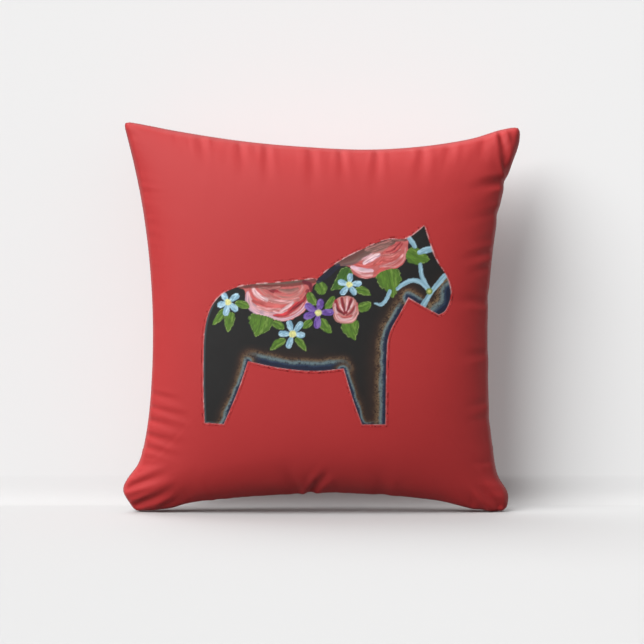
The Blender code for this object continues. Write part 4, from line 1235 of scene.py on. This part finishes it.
def make_seam_thread(name, rim, node, material):
    """The seam's thread: stitches along the groove between front and back."""
    step = np.linalg.norm(np.diff(rim, axis=0), axis=1)
    length = np.concatenate([[0.0], np.cumsum(step)])
    lines = []
    count = int(length[-1] / STITCH_PITCH)
    for middle in (np.arange(count) + 0.5) * length[-1] / count:
        places = middle + np.array([-0.5, -0.25, 0.0, 0.25, 0.5]) * STITCH_LENGTH
        places = np.clip(places, 0, length[-1])
        lines.append(np.stack([np.interp(places, length, rim[:, k]) for k in range(3)], 1))
    radii = [STITCH_RADIUS * np.array([0.6, 1, 1.1, 1, 0.6])] * count
    tube_piece(name, lines, radii, 5, material, node)


# ------------------------------------------------------------------ insert

INSERT_CLEARANCE = 0.006        # kept free under the zip
INSERT_POINTS = 97
CASING_SHARE = (0.950, 0.85)    # of the cover's height and width, and of its depth
FILLING_SHARE = (0.938, 0.82)
CASING_CLOTH = 0.0004
BY_ZIP = (0.045, 0.30, 3.0)     # half height, half width and blend of the region under the zip


def seam_rim(grid):
    """The seam line round the cushion, from a grid's border."""
    return np.concatenate([grid[0, :-1], grid[:-1, -1], grid[-1, :0:-1], grid[::-1, 0]])


def make_insert(front, back, materials):
    """The insert's two casing halves and its filling, inside the cover."""
    centre = np.array([0.0, 0.0, (front[0, :, 2].mean() + front[-1, :, 2].mean()) / 2])
    u, v = even_grid(INSERT_POINTS)

    def shrunk(half, plan, depth):
        """One half of the cover, drawn in, and sunk clear of the zip."""
        made = centre + (sample(half, u, v) - centre) * np.array([plan, depth, plan])
        above_zip = made[..., 2] - ZIP_AXIS.z
        cone = ZIP_RADIUS + above_zip * math.tan(ZIP_TILT)
        reach = np.sqrt(np.maximum(cone ** 2 - made[..., 0] ** 2, 0.0))
        sunk = np.minimum(made[..., 1], ZIP_AXIS.y + reach - INSERT_CLEARANCE)
        by_zip = bump(above_zip / BY_ZIP[0]) * bump(made[..., 0] / BY_ZIP[1])
        made[..., 1] += (sunk - made[..., 1]) * ease(by_zip * BY_ZIP[2])
        return made

    for side, half in (("front", front), ("back", back)):
        points = shrunk(half, *CASING_SHARE)
        faces = grid_faces(INSERT_POINTS, INSERT_POINTS, side == "back")
        piece = make_mesh("insert_" + side, points, faces)
        add_flat(piece, u, v)
        thicken(piece, CASING_CLOTH)
        piece.data.materials.append(materials["casing"])
        declare(piece, "insert_casing_" + side)
    front_points, back_points = (shrunk(half, *FILLING_SHARE) for half in (front, back))
    points, faces, _, _ = cover_mesh(front_points, back_points)
    fill = make_mesh("fibre_filling", points, faces)
    fill.data.materials.append(materials["fibre"])
    declare(fill, "fibre_fill")
    make_seam_thread("insert_seam_stitches", seam_rim(shrunk(front, *CASING_SHARE)),
                     "insert_seam_thread", materials["white_thread"])


# ------------------------------------------------------------------ materials

def new_material(name):
    """An empty node material, its nodes, links and Principled shader."""
    material = bpy.data.materials.new(name)
    material.use_nodes = True
    nodes, links = material.node_tree.nodes, material.node_tree.links
    return material, nodes, links, nodes["Principled BSDF"]


def add_node(nodes, kind, **settings):
    """A node with these constants on its sockets or settings."""
    node = nodes.new(kind)
    for key, value in settings.items():
        if key in node.inputs:
            node.inputs[key].default_value = value
        else:
            setattr(node, key, value)
    return node


def math_node(nodes, links, operation, *values):
    """A math node; each value may be a number or a socket."""
    node = nodes.new("ShaderNodeMath")
    node.operation = operation
    for number, value in enumerate(values):
        if isinstance(value, (int, float)):
            node.inputs[number].default_value = value
        else:
            links.new(value, node.inputs[number])
    return node.outputs[0]


def colour_mix(nodes, links, factor, first, second):
    """Mix two colours; each may be a colour or a socket."""
    node = nodes.new("ShaderNodeMix")
    node.data_type = "RGBA"
    sockets = (node.inputs[0], node.inputs[6], node.inputs[7])
    for socket, value in zip(sockets, (factor, first, second)):
        if isinstance(value, bpy.types.NodeSocket):
            links.new(value, socket)
        elif isinstance(value, (int, float)):
            socket.default_value = value
        else:
            socket.default_value = (*value, 1.0)
    return node.outputs[2]


def noise(nodes, links, vector, scale, detail=3.0, roughness=0.55):
    """Procedural noise from 0 to 1."""
    node = add_node(nodes, "ShaderNodeTexNoise", Scale=scale, Detail=detail, Roughness=roughness)
    links.new(vector, node.inputs["Vector"])
    return node.outputs["Fac"]


def weave_height(nodes, links, vector, pitch):
    """Height of a plain weave: warp and weft threads that pass over and under."""
    split = nodes.new("ShaderNodeSeparateXYZ")
    links.new(vector, split.inputs[0])
    turns = 2 * math.pi / pitch
    waves = [math_node(nodes, links, "SINE", math_node(nodes, links, "MULTIPLY", place, turns))
             for place in split.outputs[:2]]
    return math_node(nodes, links, "MULTIPLY", *waves)


def relief(nodes, links, shader, height, strength, distance):
    """Bump from a height socket."""
    node = add_node(nodes, "ShaderNodeBump", Strength=strength, Distance=distance)
    links.new(height, node.inputs["Height"])
    links.new(node.outputs[0], shader.inputs["Normal"])


def set_inputs(shader, values):
    """Set named constants directly on a shader."""
    for name, value in values.items():
        shader.inputs[name].default_value = value


CLOTH_RED = (0.425, 0.028, 0.029)
CLOTH_DARK = (0.400, 0.023, 0.024)
WEAVE_PITCH = 0.00075
CLOTH_CLOUD = (9.0, 4.0)        # scale and detail of the slow change of tone
CLOTH_SLUBS = (420.0, 2.0)
WEAVE_SHADE = (0.06, 0.97)      # painted shade and light of the weave: how much it darkens the red, and the tone it starts from
SLUB_HEIGHT = 0.8
CLOTH_RELIEF = (0.35, 0.00012)
CLOTH_ROUGHNESS = (0.08, 0.56)
CLOTH_FINISH = {"Specular IOR Level": 0.30, "Sheen Weight": 0.03, "Sheen Roughness": 0.45,
                "Sheen Tint": (1.0, 0.75, 0.72, 1.0)}


def cloth_material(name, ink):
    """Red woven cloth; with ink, the printed colours are laid over the red."""
    material, nodes, links, shader = new_material(name)
    vector = add_node(nodes, "ShaderNodeAttribute", attribute_name="flat").outputs["Vector"]
    cloudy = noise(nodes, links, vector, *CLOTH_CLOUD)
    slubs = noise(nodes, links, vector, *CLOTH_SLUBS)
    red = colour_mix(nodes, links, cloudy, CLOTH_RED, CLOTH_DARK)
    weave = weave_height(nodes, links, vector, WEAVE_PITCH)
    # Painted shade of the weave: the red is darker in the weave's dips and lighter on its crowns,
    # following the weave's height.
    shade = math_node(nodes, links, "MULTIPLY_ADD", weave, *WEAVE_SHADE)
    if ink:
        layer = add_node(nodes, "ShaderNodeVertexColor", layer_name="ink")
        red = colour_mix(nodes, links, layer.outputs["Alpha"], red, layer.outputs["Color"])
    shaded = add_node(nodes, "ShaderNodeVectorMath", operation="SCALE")
    links.new(red, shaded.inputs[0])
    links.new(shade, shaded.inputs["Scale"])
    links.new(shaded.outputs[0], shader.inputs["Base Color"])
    slub_height = math_node(nodes, links, "MULTIPLY", slubs, SLUB_HEIGHT)
    relief(nodes, links, shader, math_node(nodes, links, "ADD", weave, slub_height), *CLOTH_RELIEF)
    rough = math_node(nodes, links, "MULTIPLY_ADD", cloudy, *CLOTH_ROUGHNESS)
    links.new(rough, shader.inputs["Roughness"])
    set_inputs(shader, CLOTH_FINISH)
    return material


THREAD = ("grain", 1800.0, 2.0, 0.55), 0.6, (0.4, 0.0001), {"Roughness": 0.55, "Sheen Weight": 0.3}
TAPE = ("weave", 700.0, 2.0, 0.55), 0.65, (0.5, 0.0001), {"Roughness": 0.85, "Sheen Weight": 0.2}
NYLON = ("grain", 300.0, 2.0, 0.55), 0.75, None, {"Roughness": 0.32, "Coat Weight": 0.2}
CASING = ("grain", 900.0, 6.0, 0.7), 0.86, (0.6, 0.00012), {"Roughness": 0.9, "Sheen Weight": 0.4}
FIBRE = ("grain", 160.0, 6.0, 0.7), 0.86, (0.6, 0.0012), {"Roughness": 0.9, "Sheen Weight": 0.4}
TAPE_PITCH = 0.0009


def plain_material(name, colour, kind):
    """Thread, tape, nylon or white stuff: one colour mottled by a fine grain, with relief."""
    (raised, scale, detail, roughness), darker, bumps, finish = kind
    material, nodes, links, shader = new_material(name)
    place = nodes.new("ShaderNodeTexCoord").outputs["Object"]
    grain = noise(nodes, links, place, scale, detail, roughness)
    dark = tuple(tone * darker for tone in colour)
    links.new(colour_mix(nodes, links, grain, colour, dark), shader.inputs["Base Color"])
    if bumps:
        weave = raised == "weave"
        height = weave_height(nodes, links, place, TAPE_PITCH) if weave else grain
        relief(nodes, links, shader, height, *bumps)
    set_inputs(shader, finish)
    return material


SCRATCH_SCALE = (300.0, 2600.0, 2600.0)
NICKEL = (0.66, 0.65, 0.62)
WORN_NICKEL = (0.50, 0.48, 0.45)
NICKEL_ROUGHNESS = (0.22, 0.18)
NICKEL_RELIEF = (0.12, 0.00005)


def metal_material(name):
    """Satin nickel plate with fine rubbed scratches."""
    material, nodes, links, shader = new_material(name)
    place = nodes.new("ShaderNodeTexCoord").outputs["Object"]
    stretch = add_node(nodes, "ShaderNodeMapping", Scale=SCRATCH_SCALE)
    links.new(place, stretch.inputs["Vector"])
    scratches = noise(nodes, links, stretch.outputs[0], 1.0, 3.0)
    worn = noise(nodes, links, place, 240.0, 3.0)
    links.new(colour_mix(nodes, links, worn, NICKEL, WORN_NICKEL), shader.inputs["Base Color"])
    rough = math_node(nodes, links, "MULTIPLY_ADD", scratches, *NICKEL_ROUGHNESS)
    links.new(rough, shader.inputs["Roughness"])
    relief(nodes, links, shader, scratches, *NICKEL_RELIEF)
    set_inputs(shader, {"Metallic": 1.0})
    return material


def set_material(node, material):
    """Give a carried-over CAD node its finish."""
    node.data.materials.clear()
    node.data.materials.append(material)


# ------------------------------------------------------------------ stage, lights and camera

SPAN = 0.644                    # width of the view at the seam, in metres
SENSOR = 36.0
CAMERA_DISTANCE = 2.4
CAMERA_AIM = Vector((0.001, 0.0, 0.190))
CAMERA_LIFT = math.radians(2.0)
WALL_GAP = 0.0025
COVE_RADIUS = 0.030
COVE_STEPS = 17
STAGE_HALF = 40.0
WALL_FOOT = FLOOR_GAP / 3       # height of the wall's foot over the floor
ROOM_LIGHT = 0.41
ROOM_BELOW = 0.12
ROOM_FADE = (-0.30, 0.10)       # upward part of the ray's direction where below turns to light
ROOM_SEEN = 0.86
# Each sun: its energy, where it stands from the centre, and its breadth in degrees.
SUNS = {
    "key": (4.35, (-0.54, -0.62, 0.62), 44),
    "back_light": (1.6, (-0.30, 0.42, 0.86), 46),
}
FLOOR_TONE = 0.508
WALL_TONE = 0.640
# The wall's glow: painted light that lifts the shadows cast on the wall.
WALL_GLOW = 0.14
COVE_BLEND = 2.2
PAPER_GRAIN = (3.0, 2.0)
PAPER_MOTTLE = 0.03
PAPER_MOTTLE_TONE = 0.7


def stage_material(name, low_tone, high_tone, glow, one_sided):
    """Plain pale paper, toned from its foot to its top, with a painted glow up the wall that lifts
    its shadows; a one-sided sheet is clear from behind.
    """
    material, nodes, links, shader = new_material(name)
    place = nodes.new("ShaderNodeTexCoord").outputs["Object"]
    split = nodes.new("ShaderNodeSeparateXYZ")
    links.new(place, split.inputs[0])
    rise = math_node(nodes, links, "DIVIDE", split.outputs[2], COVE_RADIUS)
    rise.node.use_clamp = True
    rise = math_node(nodes, links, "POWER", rise, COVE_BLEND)
    # Painted light: the paper glows, from nothing at the floor to its full glow up the wall, which
    # lifts the shadows on it.
    links.new(math_node(nodes, links, "MULTIPLY", rise, glow), shader.inputs["Emission Strength"])
    shader.inputs["Emission Color"].default_value = (1.0, 1.0, 1.0, 1.0)
    tone = colour_mix(nodes, links, rise, (low_tone,) * 3, (high_tone,) * 3)
    faint = math_node(nodes, links, "MULTIPLY", noise(nodes, links, place, *PAPER_GRAIN),
                      PAPER_MOTTLE)
    mottled = colour_mix(nodes, links, faint, tone, (PAPER_MOTTLE_TONE,) * 3)
    links.new(mottled, shader.inputs["Base Color"])
    set_inputs(shader, {"Roughness": 0.95, "Specular IOR Level": 0.0})
    if one_sided:
        clear = nodes.new("ShaderNodeBsdfTransparent")
        facing = nodes.new("ShaderNodeNewGeometry")
        mix = nodes.new("ShaderNodeMixShader")
        links.new(facing.outputs["Backfacing"], mix.inputs[0])
        links.new(shader.outputs[0], mix.inputs[1])
        links.new(clear.outputs[0], mix.inputs[2])
        links.new(mix.outputs[0], nodes["Material Output"].inputs["Surface"])
    return material


def make_stage():
    """A pale floor, and a pale wall just behind the cushion that light passes from behind."""
    wall = CAD_BOX[1].y + WALL_GAP
    profile = [(wall - 2 * COVE_RADIUS, 0.0)]
    for angle in np.linspace(0.0, math.pi / 2, COVE_STEPS):
        profile.append((wall - COVE_RADIUS * (1 - math.sin(angle)),
                        COVE_RADIUS * (1 - math.cos(angle))))
    profile.append((wall, STAGE_HALF))
    far = STAGE_HALF
    points = [(x, y, z + WALL_FOOT) for y, z in profile for x in (-far, far)]
    faces = [(2 * k, 2 * k + 1, 2 * k + 3, 2 * k + 2) for k in range(len(profile) - 1)]
    backdrop = make_mesh("wall", points, faces)
    paper = stage_material("wall_paper", FLOOR_TONE, WALL_TONE, WALL_GLOW, True)
    backdrop.data.materials.append(paper)
    backdrop.visible_shadow = backdrop.visible_diffuse = backdrop.visible_glossy = False
    floor = make_mesh("floor", [(-far, -far, 0), (far, -far, 0), (far, far, 0), (-far, far, 0)],
                      [(0, 1, 2, 3)])
    paper = stage_material("floor_paper", FLOOR_TONE, FLOOR_TONE, 0.0, False)
    floor.data.materials.append(paper)
    floor.visible_diffuse = False


def make_lights():
    """A broad key from the upper left in front, a softer one from behind, and a pale room.

    The room is dimmer from below, and brighter where the camera looks straight into it.
    """
    centre = (CAD_BOX[0] + CAD_BOX[1]) / 2
    for name, (energy, place, breadth) in SUNS.items():
        data = bpy.data.lights.new(name, "SUN")
        data.energy = energy
        data.angle = math.radians(breadth)
        light = bpy.data.objects.new(name, data)
        light.location = centre + Vector(place)
        light.rotation_euler = (-Vector(place)).to_track_quat("-Z", "Y").to_euler()
        bpy.context.scene.collection.objects.link(light)
    world = bpy.data.worlds.new("pale_room")
    world.use_nodes = True
    nodes, links = world.node_tree.nodes, world.node_tree.links
    way = nodes.new("ShaderNodeSeparateXYZ")
    links.new(nodes.new("ShaderNodeTexCoord").outputs["Generated"], way.inputs[0])
    height = nodes.new("ShaderNodeMapRange")
    links.new(way.outputs[2], height.inputs["Value"])
    set_inputs(height, {"From Min": ROOM_FADE[0], "From Max": ROOM_FADE[1],
                        "To Min": ROOM_BELOW, "To Max": ROOM_LIGHT})
    seen = nodes.new("ShaderNodeLightPath").outputs["Is Camera Ray"]
    strength = add_node(nodes, "ShaderNodeMix", B=ROOM_SEEN)
    links.new(seen, strength.inputs["Factor"])
    links.new(height.outputs["Result"], strength.inputs["A"])
    links.new(strength.outputs["Result"], nodes["Background"].inputs[1])
    nodes["Background"].inputs[0].default_value = (1.0, 1.0, 1.0, 1.0)
    bpy.context.scene.world = world


def make_camera():
    """A long lens, nearly level, square on to the front."""
    data = bpy.data.cameras.new("camera")
    data.sensor_width = SENSOR
    data.lens = SENSOR * CAMERA_DISTANCE / SPAN
    camera = bpy.data.objects.new("camera", data)
    bpy.context.scene.collection.objects.link(camera)
    towards = Vector((0, -math.cos(CAMERA_LIFT), math.sin(CAMERA_LIFT)))
    camera.location = CAMERA_AIM + CAMERA_DISTANCE * towards
    camera.rotation_euler = (-towards).to_track_quat("-Z", "Y").to_euler()
    bpy.context.scene.camera = camera
    bpy.context.scene.view_settings.view_transform = "Standard"


# ------------------------------------------------------------------ assembly

PUCKER_PHASES = (0.0, 1.3)      # of the front and the back, so that they differ


def make_cover(materials):
    """The cover's panels, its print, its seam, and the insert inside."""
    front, back = stuffed_cover()
    fine_front = finish_half(front, 1, PUCKER_PHASES[0], FRONT_CREASES)
    fine_back = finish_half(back, -1, PUCKER_PHASES[1], BACK_CREASES)
    for edge in ((0, slice(None)), (-1, slice(None)), (slice(None), 0), (slice(None), -1)):
        fine_back[edge] = fine_front[edge]
    cloth = materials["cloth"]
    u, v = even_grid(FINE_POINTS)
    piece = cloth_piece("cover_front", fine_front, u, v, False, "cover_front_panel", cloth)
    printed = make_print(fine_front, materials["print"])
    upper = back_panel("cover_back_above_zip", fine_back, 1, "cover_back_upper", cloth)
    lower = back_panel("cover_back_below_zip", fine_back, -1, "cover_back_lower", cloth)
    make_seam_thread("cover_seam_stitches", seam_rim(fine_front), "cover_seam_thread",
                     materials["thread"])
    make_insert(front, back, materials)


def make_zip(materials):
    """The zip's coils and stitching, and the finish of the pieces carried over from the CAD."""
    nodes = frame["nodes"]
    for name, side in (("upper", 1), ("lower", -1)):
        make_coil("zip_wound_coil_" + name, side, "zip_coil_" + name, materials["nylon"])
        make_stitches("zip_stitches_" + name, side, "zip_stitching_" + name, materials["thread"])
        set_material(nodes["zip_tape_" + name], materials["tape"])
    for name, side in (("left", -1), ("right", 1)):
        make_tack("zip_tack_" + name, side, "zip_end_tack_" + name, materials["thread"])
    for name in ("zip_top_stop_upper", "zip_top_stop_lower", "zip_bottom_stop",
                 "zip_slider_body", "zip_pull_tab"):
        set_material(nodes[name], materials["metal"])


def main():
    """Build the materials, the cushion, its zip, and the stage round it."""
    materials = {
        "cloth": cloth_material("red_cloth", False),
        "print": cloth_material("printed_cloth", True),
        "thread": plain_material("red_thread", (0.40, 0.035, 0.040), THREAD),
        "white_thread": plain_material("white_thread", (0.85, 0.84, 0.80), THREAD),
        "tape": plain_material("wine_tape", (0.26, 0.022, 0.028), TAPE),
        "nylon": plain_material("wine_nylon", (0.30, 0.030, 0.036), NYLON),
        "metal": metal_material("satin_nickel"),
        "casing": plain_material("nonwoven_casing", (0.86, 0.85, 0.82), CASING),
        "fibre": plain_material("fibre", (0.90, 0.90, 0.88), FIBRE),
    }
    make_cover(materials)
    make_zip(materials)
    make_stage()
    make_lights()
    make_camera()


main()
